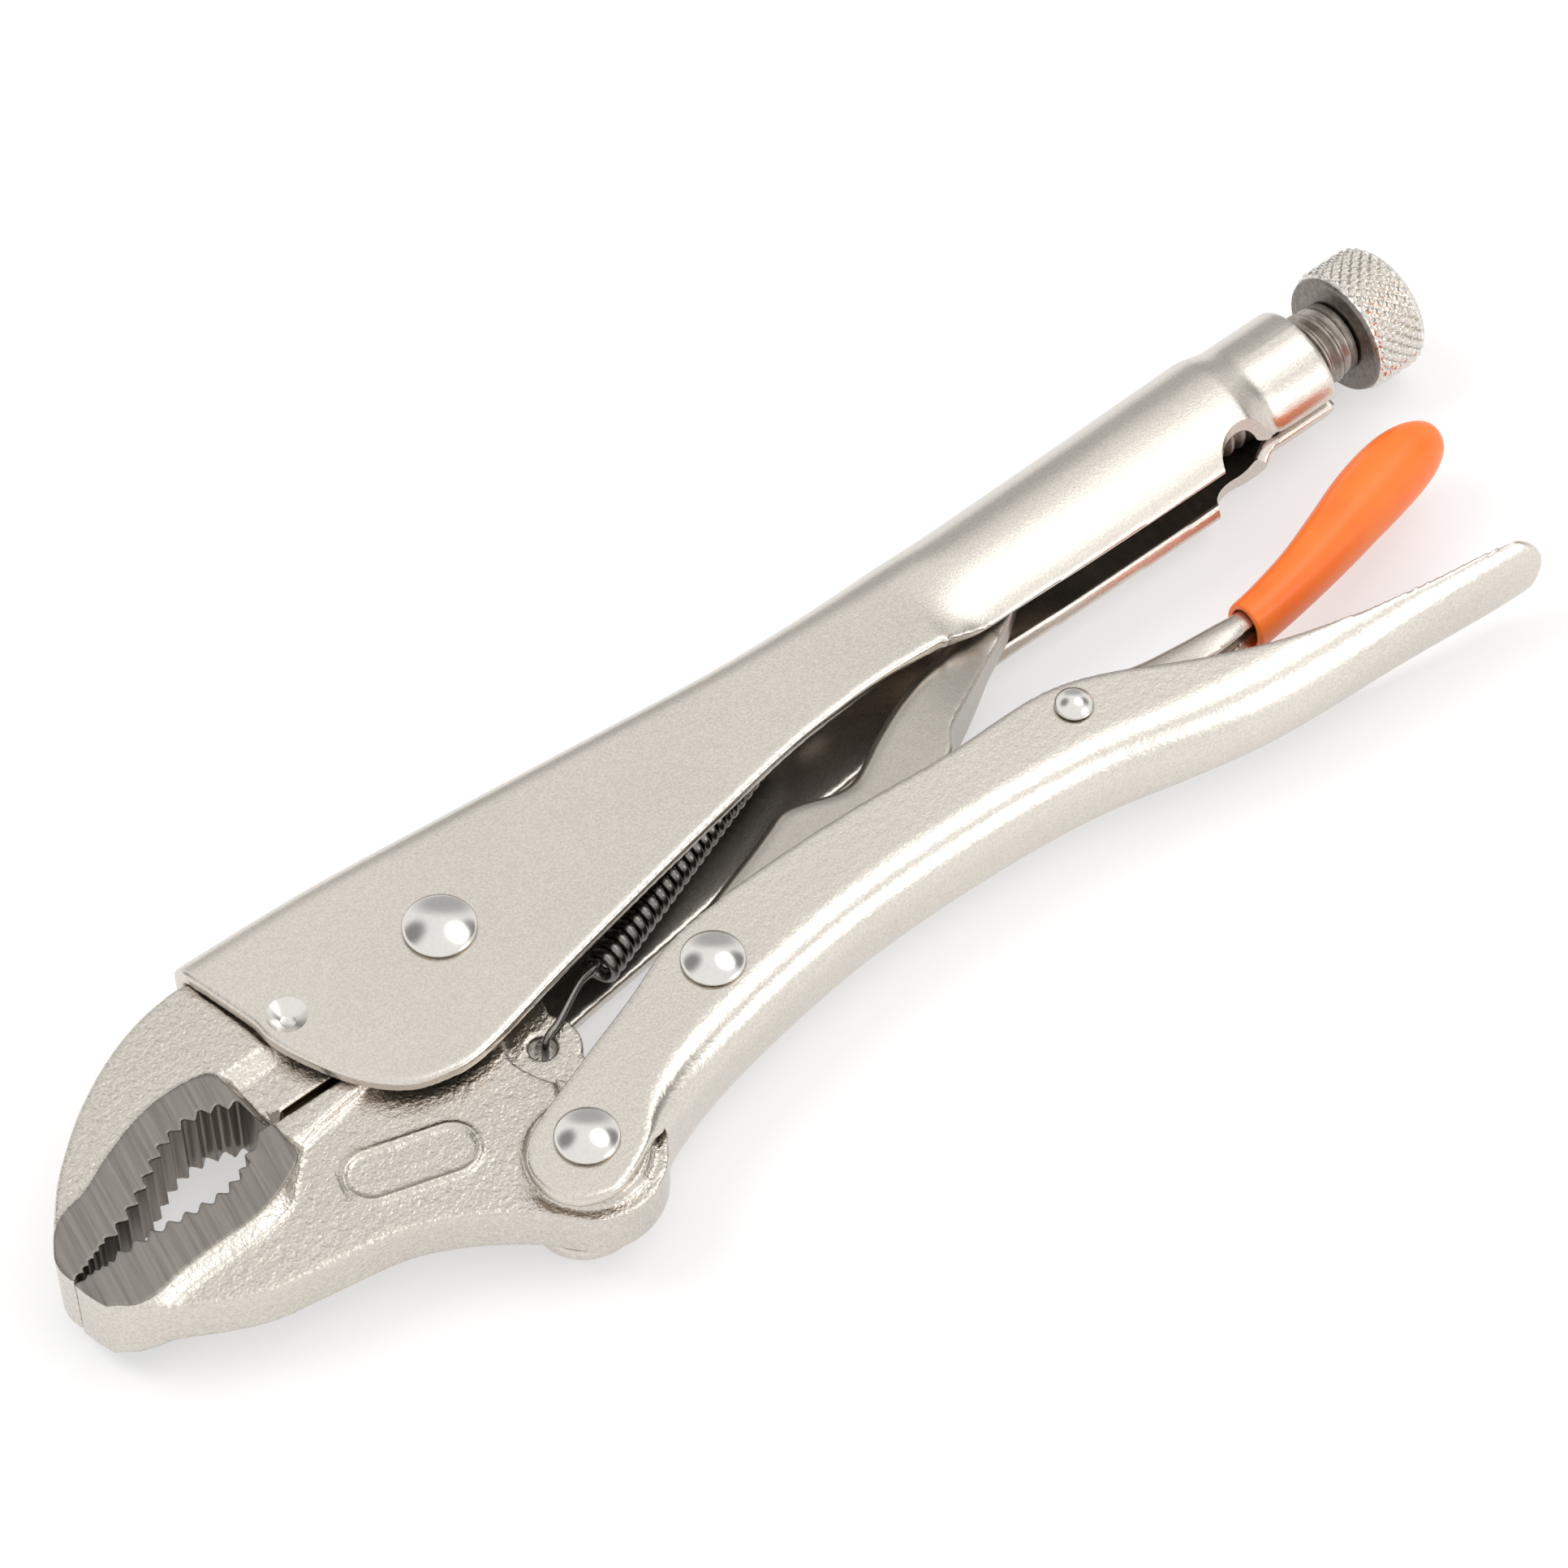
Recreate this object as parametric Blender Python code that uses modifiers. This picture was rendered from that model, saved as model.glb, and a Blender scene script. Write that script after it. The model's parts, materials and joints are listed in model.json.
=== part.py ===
"""Locking pliers with curved jaws, lying on one side: X along the tool (jaws at -X, adjusting
knob at +X), Y across the handles (fixed handle at +Y), Z up through the pivots.

Lengths below are millimetres in the tool's own plan, whose Z = 0 is the middle of the jaws.
The frame object then moves the whole tool so that the world origin is the bottom centre."""
import math

import bmesh
import bpy
from mathutils import Matrix, Vector

MM = 0.001

# Sheet metal and fits
SHEET = 2.0                     # wall of the two handles and of the toggle link
CHANNEL_HALF = 7.15             # half the outer width of the handles
FIT = 0.3                       # gap between pieces that touch or run on each other
CHANNEL_INNER = CHANNEL_HALF - SHEET
CORE_HALF = CHANNEL_INNER - FIT     # half width of what runs between the handle plates
OPEN_BELOW = -30.0              # Y below every outline: walls drawn to it are trimmed after
BEYOND = 30.0                   # reach of a cutter that goes right through

# Pivots, in plan
JAW_PIVOT = (-49.8, 6.5)
LEVER_PIVOT = (-55.0, -28.9)
LINK_PIVOT = (-27.1, -18.8)
RELEASE_PIVOT = (32.6, -18.2)

# Rivets: shank radius, head radius; every head has the same rise
JAW_RIVET = (3.0, 4.7)
LEVER_RIVET = (2.6, 4.05)
LINK_RIVET = (2.6, 4.1)
RELEASE_RIVET = (1.5, 2.55)
HEAD_RISE = 1.7
HEAD_RIM = 0.35

# Jaws
TIP_X = -113.5
BLOCK_HALF = 5.5                # machined gripping blocks
BLOCK_DRAFT = 0.8               # how far the block's forged foot spreads
UPPER_FACE_HALF = 5.3           # upper jaw in front of the handle
WEB_HALF = 3.6                  # recessed sides of the lower jaw
CUTTER_HALF = 3.9               # recessed sides round the wire cutter
EAR_HALF = 2.5                  # spring ear of the lower jaw
EAR_CENTRE = (-49.3, -12.9)
EAR_RADIUS = 5.0
EAR_HOLE = 1.75
TAIL_RADIUS = 9.8               # lower jaw round the lever pivot
BOSS_RADIUS = 8.0               # lower jaw round the jaw pivot
COARSE_PITCH = 2.3
COARSE_DEPTH = 0.85
FINE_PITCH = 1.1
FINE_DEPTH = 0.45

# Adjusting screw and knob, along X at this Y
SCREW_Y = 9.6
SCREW_RADIUS = 5.5
SCREW_TIP_X = 53.0
SCREW_TIP_RADIUS = 2.6
KNOB_FACE_X = 104.7
KNOB_RADIUS = 9.1
KNOB_LENGTH = 9.4
KNOB_EDGE = 0.9
STUB_RADIUS = 4.0               # plain end of the screw inside the knob
STUB_LENGTH = 6.5

# Fixed handle tube
TUBE_ROOM = 0.4                 # gap between the tube and the screw at the tube's narrow end
TUBE_RADIUS = SCREW_RADIUS + TUBE_ROOM + SHEET
TUBE_SWELL = 0.6                # how much wider the tube is before its neck
TUBE_LIP_GAP = 4.75             # half the slot under the tube
NECK_RADIUS = SCREW_RADIUS + FIT + SHEET
NECK_LIP_Y = SCREW_Y - NECK_RADIUS + 0.2    # height of the neck's lips
NECK_X = 86.0
MOUTH_X = 97.4
FIXED_FRONT_X = -78.2
STAKE = (-71.9, 8.3)            # punched dimple that holds the upper jaw
STAKE_RADIUS = 2.6
STAKE_FLAT = 0.9
STAKE_DEPTH = 1.6
NOTCH = (79.6, -4.1)            # round window that shows the thread
NOTCH_RADIUS = 5.8
HOOK_TAB = (11.5, 9.3)          # hole of the spring's rear tab
HOOK_TAB_HALF = 0.8
HOOK_TAB_HOLE = 1.1

# Toggle link
LINK_CLEARANCE = 1.9            # open pivot: link end to screw tip
LINK_NOSE_HALF = 2.6
LINK_BAR_HALF = LINK_NOSE_HALF - 0.2    # solid bar inside the nose
LINK_CORNER = 2.6               # bend radius of the channel
LINK_NOSE_RADIUS = 3.3
LINK_FRONT_RADIUS = 4.8

# Release lever and sleeve
LEVER_SHEET = 1.3
LEVER_HALF = 3.1
SLEEVE_WALL = 0.8
TANG_STATIONS = 7               # sleeve stations that the lever's tang reaches into
TANG_WIDTH = 0.86               # the tang's section as shares of the sleeve's inside
TANG_CROWN = 0.88
TANG_CORNER = 0.84
TANG_LIP = 0.64

# Spring
WIRE_RADIUS = 0.47
COIL_RADIUS = 1.9
COIL_START = (-36.3, -7.4)
COIL_END = (3.6, 6.6)
COIL_PITCH = 1.5
POINTS_PER_TURN = 8

# Overall box of the tool in plan, for the frame's place
PLAN_MIN_X = TIP_X - 0.15
PLAN_MAX_X = KNOB_FACE_X + KNOB_LENGTH
PLAN_MIN_Y = LEVER_PIVOT[1] - TAIL_RADIUS
PLAN_MAX_Y = 23.65
REST_HALF = max(CHANNEL_HALF + FIT + HEAD_RISE, TUBE_RADIUS + TUBE_SWELL)


# ---------------------------------------------------------------- scene and materials

def clear_scene():
    for item in list(bpy.data.objects):
        bpy.data.objects.remove(item, do_unlink=True)


def new_collection(name):
    collection = bpy.data.collections.new(name)
    bpy.context.scene.collection.children.link(collection)
    return collection


def material(name, colour, roughness, metallic):
    result = bpy.data.materials.new(name)
    result.use_nodes = True
    shader = result.node_tree.nodes["Principled BSDF"]
    shader.inputs["Base Color"].default_value = (*colour, 1.0)
    shader.inputs["Roughness"].default_value = roughness
    shader.inputs["Metallic"].default_value = metallic
    return result


def nickel_material(name):
    return material(name, (0.67, 0.62, 0.57), 0.32, 1.0)


def forged_material(name):
    return material(name, (0.64, 0.59, 0.54), 0.42, 1.0)


def rivet_material(name):
    return material(name, (0.72, 0.70, 0.67), 0.12, 1.0)


def screw_material(name):
    return material(name, (0.38, 0.34, 0.30), 0.35, 1.0)


def knob_material(name):
    return material(name, (0.68, 0.64, 0.60), 0.25, 1.0)


def spring_material(name):
    return material(name, (0.16, 0.15, 0.14), 0.30, 1.0)


def vinyl_material(name):
    return material(name, (1.0, 0.19, 0.02), 0.35, 0.0)


# ---------------------------------------------------------------- outlines in plan

def smooth(points, steps=3):
    """Points of a smooth path through the given points (Catmull-Rom)."""
    padded = [points[0]] + list(points) + [points[-1]]
    path = []
    for i in range(1, len(padded) - 2):
        before, start, end, after = (Vector(p) for p in padded[i - 1:i + 3])
        for k in range(steps):
            t = k / steps
            path.append(0.5 * (2 * start + (end - before) * t
                               + (2 * before - 5 * start + 4 * end - after) * t * t
                               + (3 * start - before - 3 * end + after) * t ** 3))
    path.append(Vector(points[-1]))
    return [(p[0], p[1]) for p in path]


def arc(centre, radius, start, end, steps=8):
    """Points on a circle from one angle to another, in degrees."""
    angles = [math.radians(start + (end - start) * k / steps) for k in range(steps + 1)]
    return [(centre[0] + radius * math.cos(a), centre[1] + radius * math.sin(a)) for a in angles]


def toothed(points, pitch, depth, side):
    """A zigzag of teeth along a smooth path; side is +1 when the teeth point to the path's left."""
    path = [Vector(p) for p in smooth(points, 8)]
    runs = [(b - a).length for a, b in zip(path, path[1:])]
    count = max(1, round(sum(runs) / pitch))
    step = sum(runs) / (2 * count)
    result = []
    for k in range(2 * count + 1):
        rest, i = k * step, 0
        while i < len(runs) - 1 and rest > runs[i]:
            rest -= runs[i]
            i += 1
        along = (path[i + 1] - path[i]).normalized()
        normal = Vector((-along[1], along[0])) * side
        spot = path[i] + along * rest + normal * (depth if k % 2 else 0.0)
        result.append((spot[0], spot[1]))
    return result


# ---------------------------------------------------------------- objects

def mesh_object(name, mesh, collection):
    result = bpy.data.objects.new(name, mesh)
    collection.objects.link(result)
    return result


def curve_to_mesh(curve_object, collection):
    """Replace a curve object by a mesh object of the same shape with its caps welded."""
    bpy.context.view_layer.update()
    evaluated = curve_object.evaluated_get(bpy.context.evaluated_depsgraph_get())
    mesh = bpy.data.meshes.new_from_object(evaluated)
    work = bmesh.new()
    work.from_mesh(mesh)
    bmesh.ops.remove_doubles(work, verts=work.verts, dist=0.000005)
    bmesh.ops.recalc_face_normals(work, faces=work.faces)
    work.to_mesh(mesh)
    work.free()
    name = curve_object.name
    matrix = curve_object.matrix_world.copy()
    bpy.data.objects.remove(curve_object, do_unlink=True)
    result = mesh_object(name, mesh, collection)
    result.matrix_world = matrix
    return result


def prism(name, outline, low, high, collection):
    """A flat plate with the given outline in plan, between two heights."""
    curve = bpy.data.curves.new(name, "CURVE")
    curve.dimensions = "2D"
    curve.fill_mode = "BOTH"
    curve.extrude = (high - low) / 2 * MM
    spline = curve.splines.new("POLY")
    spline.points.add(len(outline) - 1)
    for point, (x, y) in zip(spline.points, outline):
        point.co = (x * MM, y * MM, 0.0, 1.0)
    spline.use_cyclic_u = True
    shape = bpy.data.objects.new(name, curve)
    shape.location.z = (high + low) / 2 * MM
    collection.objects.link(shape)
    result = curve_to_mesh(shape, collection)
    result.data.transform(result.matrix_world)
    result.matrix_world = Matrix.Identity(4)
    return result


def turned(name, profile, steps, collection):
    """A body turned about its local Z from a profile of (radius, height), top to bottom."""
    mesh = bpy.data.meshes.new(name)
    points = [(radius * MM, 0.0, height * MM) for radius, height in profile]
    mesh.from_pydata(points, [(i, i + 1) for i in range(len(points) - 1)], [])
    result = mesh_object(name, mesh, collection)
    screw = result.modifiers.new("turn", "SCREW")
    screw.axis = "Z"
    screw.steps = steps
    screw.render_steps = steps
    screw.use_merge_vertices = True
    screw.merge_threshold = 0.00001
    screw.use_smooth_shade = True
    return result


def loft(name, rings, collection, closed_ring=False, capped=False, inside_out=False):
    """A surface through a row of rings, each a list of (x, y, z) in millimetres."""
    work = bmesh.new()
    rows = [[work.verts.new(Vector(p) * MM) for p in ring] for ring in rings]
    count = len(rings[0])
    spans = count if closed_ring else count - 1
    for near, far in zip(rows, rows[1:]):
        for i in range(spans):
            j = (i + 1) % count
            work.faces.new((near[i], near[j], far[j], far[i]))
    if capped:
        work.faces.new(rows[-1])
    if inside_out:
        bmesh.ops.reverse_faces(work, faces=work.faces)
    mesh = bpy.data.meshes.new(name)
    work.to_mesh(mesh)
    work.free()
    return mesh_object(name, mesh, collection)


def solidify(target, thickness):
    shell = target.modifiers.new("wall", "SOLIDIFY")
    shell.thickness = thickness * MM
    shell.offset = -1.0
    shell.use_even_offset = True
    return shell


def combine(target, other, operation):
    """Cut, join or keep the common part of a body and another object."""
    step = target.modifiers.new(other.name, "BOOLEAN")
    step.operation = operation
    step.object = other
    step.solver = "EXACT"
    return step


def make_cutter(shape):
    shape.hide_render = True
    shape.display_type = "WIRE"
    return shape


def place(part, pivot, frame, surface):
    """Move the origin of a part that was drawn in plan to its pivot, and hang it there."""
    part.data.transform(Matrix.Translation((-pivot[0] * MM, -pivot[1] * MM, 0.0)))
    return hang(part, pivot, frame, surface)


def hang(part, spot, frame, surface):
    """Set a part down at a spot in plan, hang it from the frame and give it its material."""
    part.location = (spot[0] * MM, spot[1] * MM, 0.0)
    part.parent = frame
    finish(part, surface)
    return part


def finish(part, surface):
    part.data.materials.clear()
    part.data.materials.append(surface)
    part.data.shade_smooth()
    part.data.set_sharp_from_angle(angle=math.radians(35))


def drill(target, centre, radius, frame, cutters, reach=20.0, steps=24):
    """Bore a hole straight through along Z."""
    hole = prism(target.name + "_hole", arc(centre, radius, 0, 360 - 360 / steps, steps - 1),
                 -reach, reach, cutters)
    hole.parent = frame
    combine(target, make_cutter(hole), "DIFFERENCE")


def shave(target, outline, level, frame, cutters):
    """Lower both faces of a flat part to a level inside an outline."""
    for low, high in ((level, BEYOND), (-BEYOND, -level)):
        tool = prism(target.name + "_shave", outline, low, high, cutters)
        tool.parent = frame
        combine(target, make_cutter(tool), "DIFFERENCE")


# ---------------------------------------------------------------- sheet metal sections

def channel_ring(x, crown, half, corner, lip, gap_half, flip=1, corner_steps=5, wall_steps=5):
    """One bent section of a handle: from one lip up the wall, over the crown and down.

    crown and lip are Y values, half the outer half width, corner the bend radius at the crown
    and gap_half the half width between the lips. flip = -1 turns the open side up."""
    turn = crown - corner * flip
    bend = math.acos(min(1.0, gap_half / half))     # how far round the wall curls in
    side = []
    for k in range(wall_steps + 1):
        t = 1.0 - k / wall_steps
        down = math.sin(bend * t) / math.sin(bend) if bend > 0.01 else t
        side.append((turn + (lip - turn) * down, half * math.cos(bend * t)))
    for k in range(1, corner_steps + 1):
        a = math.radians(90.0 * k / corner_steps)
        side.append((turn + corner * flip * math.sin(a), half - corner + corner * math.cos(a)))
    ring = [(x, y, z) for y, z in side]
    if half - corner > 0.05:
        ring += [(x, y, -z) for y, z in reversed(side)]
    else:
        ring += [(x, y, -z) for y, z in reversed(side[:-1])]
        ring[len(side) - 1] = (x, crown, 0.0)
    return ring


def fixed_handle_rings():
    """Stations of the fixed handle: x, crown, half width, bend radius, lip, lip half gap."""
    flat, deep = CHANNEL_HALF, OPEN_BELOW
    lip_gap = TUBE_LIP_GAP
    round_corner = TUBE_RADIUS - 0.3
    stations = [
        (FIXED_FRONT_X - 2.0, 23.7, flat, 3.0, deep, flat),
        (-60.0, 23.0, flat, 3.0, deep, flat),
        (-40.0, 21.1, flat, 3.0, deep, flat),
        (-20.0, 19.0, flat, 3.0, deep, flat),
        (0.0, 17.0, flat, 3.2, deep, flat),
        (14.0, 16.6, flat, 4.0, deep, flat),
        (25.0, 17.0, flat, 5.2, deep, flat),
        (27.5, 17.2, 7.2, 5.6, 0.3, 7.1),
        (30.5, 17.3, 7.4, 6.2, -0.3, 6.1),
        (33.5, 17.4, 7.7, 7.0, -0.7, 5.1),
        (38.0, SCREW_Y + TUBE_RADIUS, TUBE_RADIUS, round_corner, -0.7, lip_gap),
        (50.0, SCREW_Y + TUBE_RADIUS + 0.1, TUBE_RADIUS + 0.1, round_corner, -1.1, lip_gap),
        (64.0, SCREW_Y + TUBE_RADIUS + 0.3, TUBE_RADIUS + 0.3, round_corner + 0.2, -1.3, lip_gap),
        (81.0, SCREW_Y + TUBE_RADIUS + TUBE_SWELL, TUBE_RADIUS + TUBE_SWELL, round_corner + 0.5,
         -1.4, lip_gap),
        (83.5, SCREW_Y + TUBE_RADIUS + 0.5, TUBE_RADIUS + 0.5, round_corner + 0.4, -0.6, 4.2),
        (NECK_X, SCREW_Y + NECK_RADIUS, NECK_RADIUS, NECK_RADIUS - 0.3, NECK_LIP_Y, 2.2),
        (MOUTH_X, SCREW_Y + NECK_RADIUS, NECK_RADIUS, NECK_RADIUS - 0.3, NECK_LIP_Y, 2.0),
    ]
    return [channel_ring(*station) for station in stations]


def fixed_handle_outline():
    """Side outline that trims the front and the lower edge of the fixed handle's plates."""
    front = smooth([(FIXED_FRONT_X, 30.0), (FIXED_FRONT_X, 23.0), (-77.2, 17.0), (-75.8, 10.2),
                    (-75.7, 7.0), (-74.2, 2.0), (-71.0, -4.5), (-66.2, -9.4), (-60.0, -11.3)])
    lower = smooth([(-60.0, -11.3), (-55.0, -10.9), (-40.0, -7.6), (-20.0, -3.7), (0.0, -0.2),
                    (10.0, 0.75), (18.0, 1.0), (27.0, 0.4)])
    return front + lower[1:] + [(30.0, -6.0), (MOUTH_X + 10, -6.0), (MOUTH_X + 10, 30.0)]


def make_fixed_handle(frame, parts, cutters):
    handle = loft("fixed_handle", fixed_handle_rings(), parts, inside_out=True)
    solidify(handle, SHEET)
    trim = prism("fixed_handle_trim", fixed_handle_outline(), -BEYOND, BEYOND, cutters)
    notch = prism("fixed_handle_notch", arc(NOTCH, NOTCH_RADIUS, 0, 345, 23),
                  -BEYOND, BEYOND, cutters)
    tab_outline = [(8.6, 15.6), (9.3, 7.6), (13.7, 7.6), (14.4, 15.6)]
    tab = prism("fixed_handle_tab", tab_outline, -HOOK_TAB_HALF, HOOK_TAB_HALF, cutters)
    for tool, operation in ((trim, "INTERSECT"), (notch, "DIFFERENCE"), (tab, "UNION")):
        tool.parent = frame
        combine(handle, make_cutter(tool), operation)
    drill(handle, HOOK_TAB, HOOK_TAB_HOLE, frame, cutters, reach=HOOK_TAB_HALF + 1.0, steps=12)
    drill(handle, JAW_PIVOT, JAW_RIVET[0] + FIT, frame, cutters)
    for sign in (1, -1):
        punch = turned("fixed_handle_punch", [
            (0.0, 1.0), (STAKE_RADIUS + 0.6, 1.0), (STAKE_RADIUS, 0.0),
            (STAKE_FLAT, -STAKE_DEPTH), (0.0, -STAKE_DEPTH)], 20, cutters)
        punch.location = (STAKE[0] * MM, STAKE[1] * MM, sign * CHANNEL_HALF * MM)
        punch.rotation_euler = (0.0 if sign > 0 else math.pi, 0.0, 0.0)
        punch.parent = frame
        combine(handle, make_cutter(punch), "DIFFERENCE")
    return place(handle, JAW_PIVOT, frame, nickel_material("satin_nickel_fixed_handle"))


def lower_handle_rings():
    """Stations of the lower handle, whose crown is its back: the open side is up."""
    flat, high = CHANNEL_HALF, -6.0
    stations = [
        (-52.0, -34.6, flat, 4.0, high, flat),
        (-45.0, -32.7, flat, 4.5, high, flat),
        (-38.0, -30.5, flat, 5.0, high, flat),
        (-30.0, -28.6, flat, 5.0, high, flat),
        (-20.0, -27.0, flat, 5.0, high, flat),
        (-8.0, -25.8, flat, 5.0, high, flat),
        (5.0, -25.7, flat, 5.0, high, flat),
        (18.0, -26.4, flat, 5.0, high, flat),
        (30.0, -28.0, flat, 5.3, high, flat),
        (42.0, -31.2, flat, 6.0, high, flat),
        (52.0, -33.6, flat, 6.6, high, flat),
        (62.0, -34.7, flat, 6.8, high, flat),
        (74.0, -35.1, flat, 6.8, high, flat),
        (84.0, -35.5, 7.0, 6.7, high, 7.0),
        (89.0, -35.8, 6.5, 6.2, high, 6.5),
        (92.0, -36.0, 5.6, 5.3, high, 5.6),
        (94.2, -36.1, 4.4, 4.1, high, 4.4),
    ]
    return [channel_ring(*station, flip=-1) for station in stations]


def lower_handle_outline():
    """Side outline that trims the upper edge, the nose and the tip of the lower handle."""
    nose = smooth([(-52.0, -36.2), (-57.0, -36.9), (-60.8, -35.4), (-63.0, -32.6), (-63.5, -29.6),
                   (-62.6, -26.6), (-60.0, -24.2), (-56.0, -22.4)])
    upper = smooth([(-56.0, -22.4), (-47.0, -19.3), (-38.0, -16.3), (-31.0, -13.6), (-24.0, -12.3),
                    (-12.0, -11.8), (2.0, -12.3), (15.0, -13.4), (26.0, -13.5), (33.0, -14.3),
                    (40.0, -17.0), (50.0, -22.5), (60.0, -27.0), (70.0, -30.0), (80.0, -31.9),
                    (90.0, -33.6), (94.3, -35.2)])
    return nose + upper[1:] + [(96.0, -50.0), (-40.0, -50.0), (-46.0, -34.0)]


def make_lower_handle(frame, parts, cutters):
    handle = loft("lower_handle", lower_handle_rings(), parts)
    solidify(handle, SHEET)
    nose_outline = [(-40.0, -20.0), (-70.0, -20.0), (-70.0, -45.0), (-48.0, -36.0), (-40.0, -28.0)]
    plates = [prism("lower_handle_plate", nose_outline, low, high, cutters)
              for low, high in ((CHANNEL_INNER, CHANNEL_HALF), (-CHANNEL_HALF, -CHANNEL_INNER))]
    for plate in plates:
        plate.parent = frame
        combine(handle, make_cutter(plate), "UNION")
    trim = prism("lower_handle_trim", lower_handle_outline(), -BEYOND, BEYOND, cutters)
    throat = prism("lower_handle_throat", [(-70.0, -20.0), (-70.0, -50.0), (-44.0, -50.0),
                                           (-44.0, -20.0)], -CHANNEL_INNER, CHANNEL_INNER, cutters)
    for tool, operation in ((trim, "INTERSECT"), (throat, "DIFFERENCE")):
        tool.parent = frame
        combine(handle, make_cutter(tool), operation)
    for pivot, rivet in ((LEVER_PIVOT, LEVER_RIVET), (LINK_PIVOT, LINK_RIVET),
                         (RELEASE_PIVOT, RELEASE_RIVET)):
        drill(handle, pivot, rivet[0] + FIT, frame, cutters)
    return place(handle, LEVER_PIVOT, frame, nickel_material("satin_nickel_lower_handle"))


# ---------------------------------------------------------------- jaws

def upper_jaw_outline():
    crown = smooth([(TIP_X, -4.4), (TIP_X - 0.1, -2.0), (-112.5, 0.5), (-107.5, 7.0),
                    (-102.0, 12.0), (-97.0, 15.5), (-91.0, 18.6), (-85.0, 20.5), (-79.3, 21.2)])
    under = [(-77.9, 23.3 - SHEET - 2 * FIT), (-60.0, 22.8 - SHEET - 2 * FIT),
             (-50.0, 21.8 - SHEET - 2 * FIT)]
    seat = arc(JAW_PIVOT, BOSS_RADIUS + FIT, 92, 215, 10)
    slit = [(-59.0, -0.6), (-79.8, -0.6)]
    blade = [(-80.7, -1.75), (-82.2, -1.75), (-83.2, 0.0)]
    grip = toothed([(-83.4, 3.4), (-87.0, 5.0), (-91.0, 5.3), (-95.0, 4.1), (-99.5, 1.3),
                    (-103.0, -0.6), (-107.0, -2.2)], COARSE_PITCH, COARSE_DEPTH, 1)
    fine = toothed([(-107.0, -2.2), (-112.4, -4.2)], FINE_PITCH, FINE_DEPTH, 1)
    tip = [(-113.2, -4.75)]
    return crown + under + seat + slit + blade + grip + fine[1:] + tip


def block_edge_upper():
    """Upper boundary of the machined block, from the tip to its back."""
    return smooth([(TIP_X - 3.0, -2.6), (-110.0, 3.0), (-105.0, 4.5), (-100.0, 6.8),
                   (-95.0, 8.6), (-90.5, 9.4), (-86.0, 9.2), (-83.6, 8.2), (-82.9, 5.5)])


def make_upper_jaw(frame, parts, cutters):
    jaw = prism("upper_jaw", upper_jaw_outline(), -BLOCK_HALF, BLOCK_HALF, parts)
    face = block_edge_upper() + [(-82.9, -6.0), (-30.0, -6.0), (-30.0, 30.0), (TIP_X - 3.0, 30.0)]
    shave(jaw, face, UPPER_FACE_HALF, frame, cutters)
    tongue = smooth([(-79.0, 30.0), (-78.6, 21.0), (-77.7, 16.0), (-76.6, 9.0), (-76.5, 6.0)])
    shave(jaw, tongue + [(-76.5, -6.0), (-30.0, -6.0), (-30.0, 30.0)], CORE_HALF, frame, cutters)
    shave(jaw, [(-82.9, 6.0), (-82.9, -6.0), (-60.0, -6.0), (-60.0, 6.0)], CUTTER_HALF,
          frame, cutters)
    return place(jaw, JAW_PIVOT, frame, forged_material("forged_nickel_upper_jaw"))


def lower_jaw_outline():
    grip = toothed([(TIP_X + 1.5, -5.35), (-108.0, -5.55)], FINE_PITCH, FINE_DEPTH, 1)
    coarse = toothed([(-108.0, -5.55), (-102.0, -5.8), (-96.0, -6.5), (-92.0, -6.6),
                      (-88.5, -5.5), (-85.8, -3.6)], COARSE_PITCH, COARSE_DEPTH, 1)
    blade = [(-84.2, -2.05), (-80.8, -2.05)]
    slit = [(-79.8, -1.9), (-60.0, -1.9)]
    boss = arc(JAW_PIVOT, BOSS_RADIUS, 222, -22, 16)
    ear = [(-44.0, -4.0)] + arc(EAR_CENTRE, EAR_RADIUS, 40, -50, 8)
    tail = arc(LEVER_PIVOT, TAIL_RADIUS, 20, -125, 14)
    belly = smooth([(-62.0, -35.2), (-65.0, -31.8), (-70.0, -27.8), (-75.0, -24.8), (-80.0, -22.9),
                    (-90.0, -21.0), (-95.0, -20.0), (-100.0, -17.9), (-105.0, -15.0),
                    (-109.0, -12.7), (-111.8, -10.8), (-113.0, -8.0), (TIP_X, -5.2)])
    return [(TIP_X + 0.3, -5.05)] + grip + coarse[1:] + blade + slit + boss + ear + tail + belly


def block_edge_lower(spread):
    """Lower boundary of the machined block, or of its drafted foot when spread is above 0."""
    return smooth([(TIP_X - 3.0, -8.0 - spread), (-112.0, -10.0 - spread),
                   (-109.5, -11.8 - spread), (-106.5, -12.2 - spread), (-103.0, -11.6 - spread),
                   (-97.0, -11.2 - spread), (-91.0, -11.1 - spread), (-86.5, -9.9 - spread),
                   (-82.6 + spread / 2, -7.6 - spread), (-82.2 + spread / 2, -4.0)])


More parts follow.
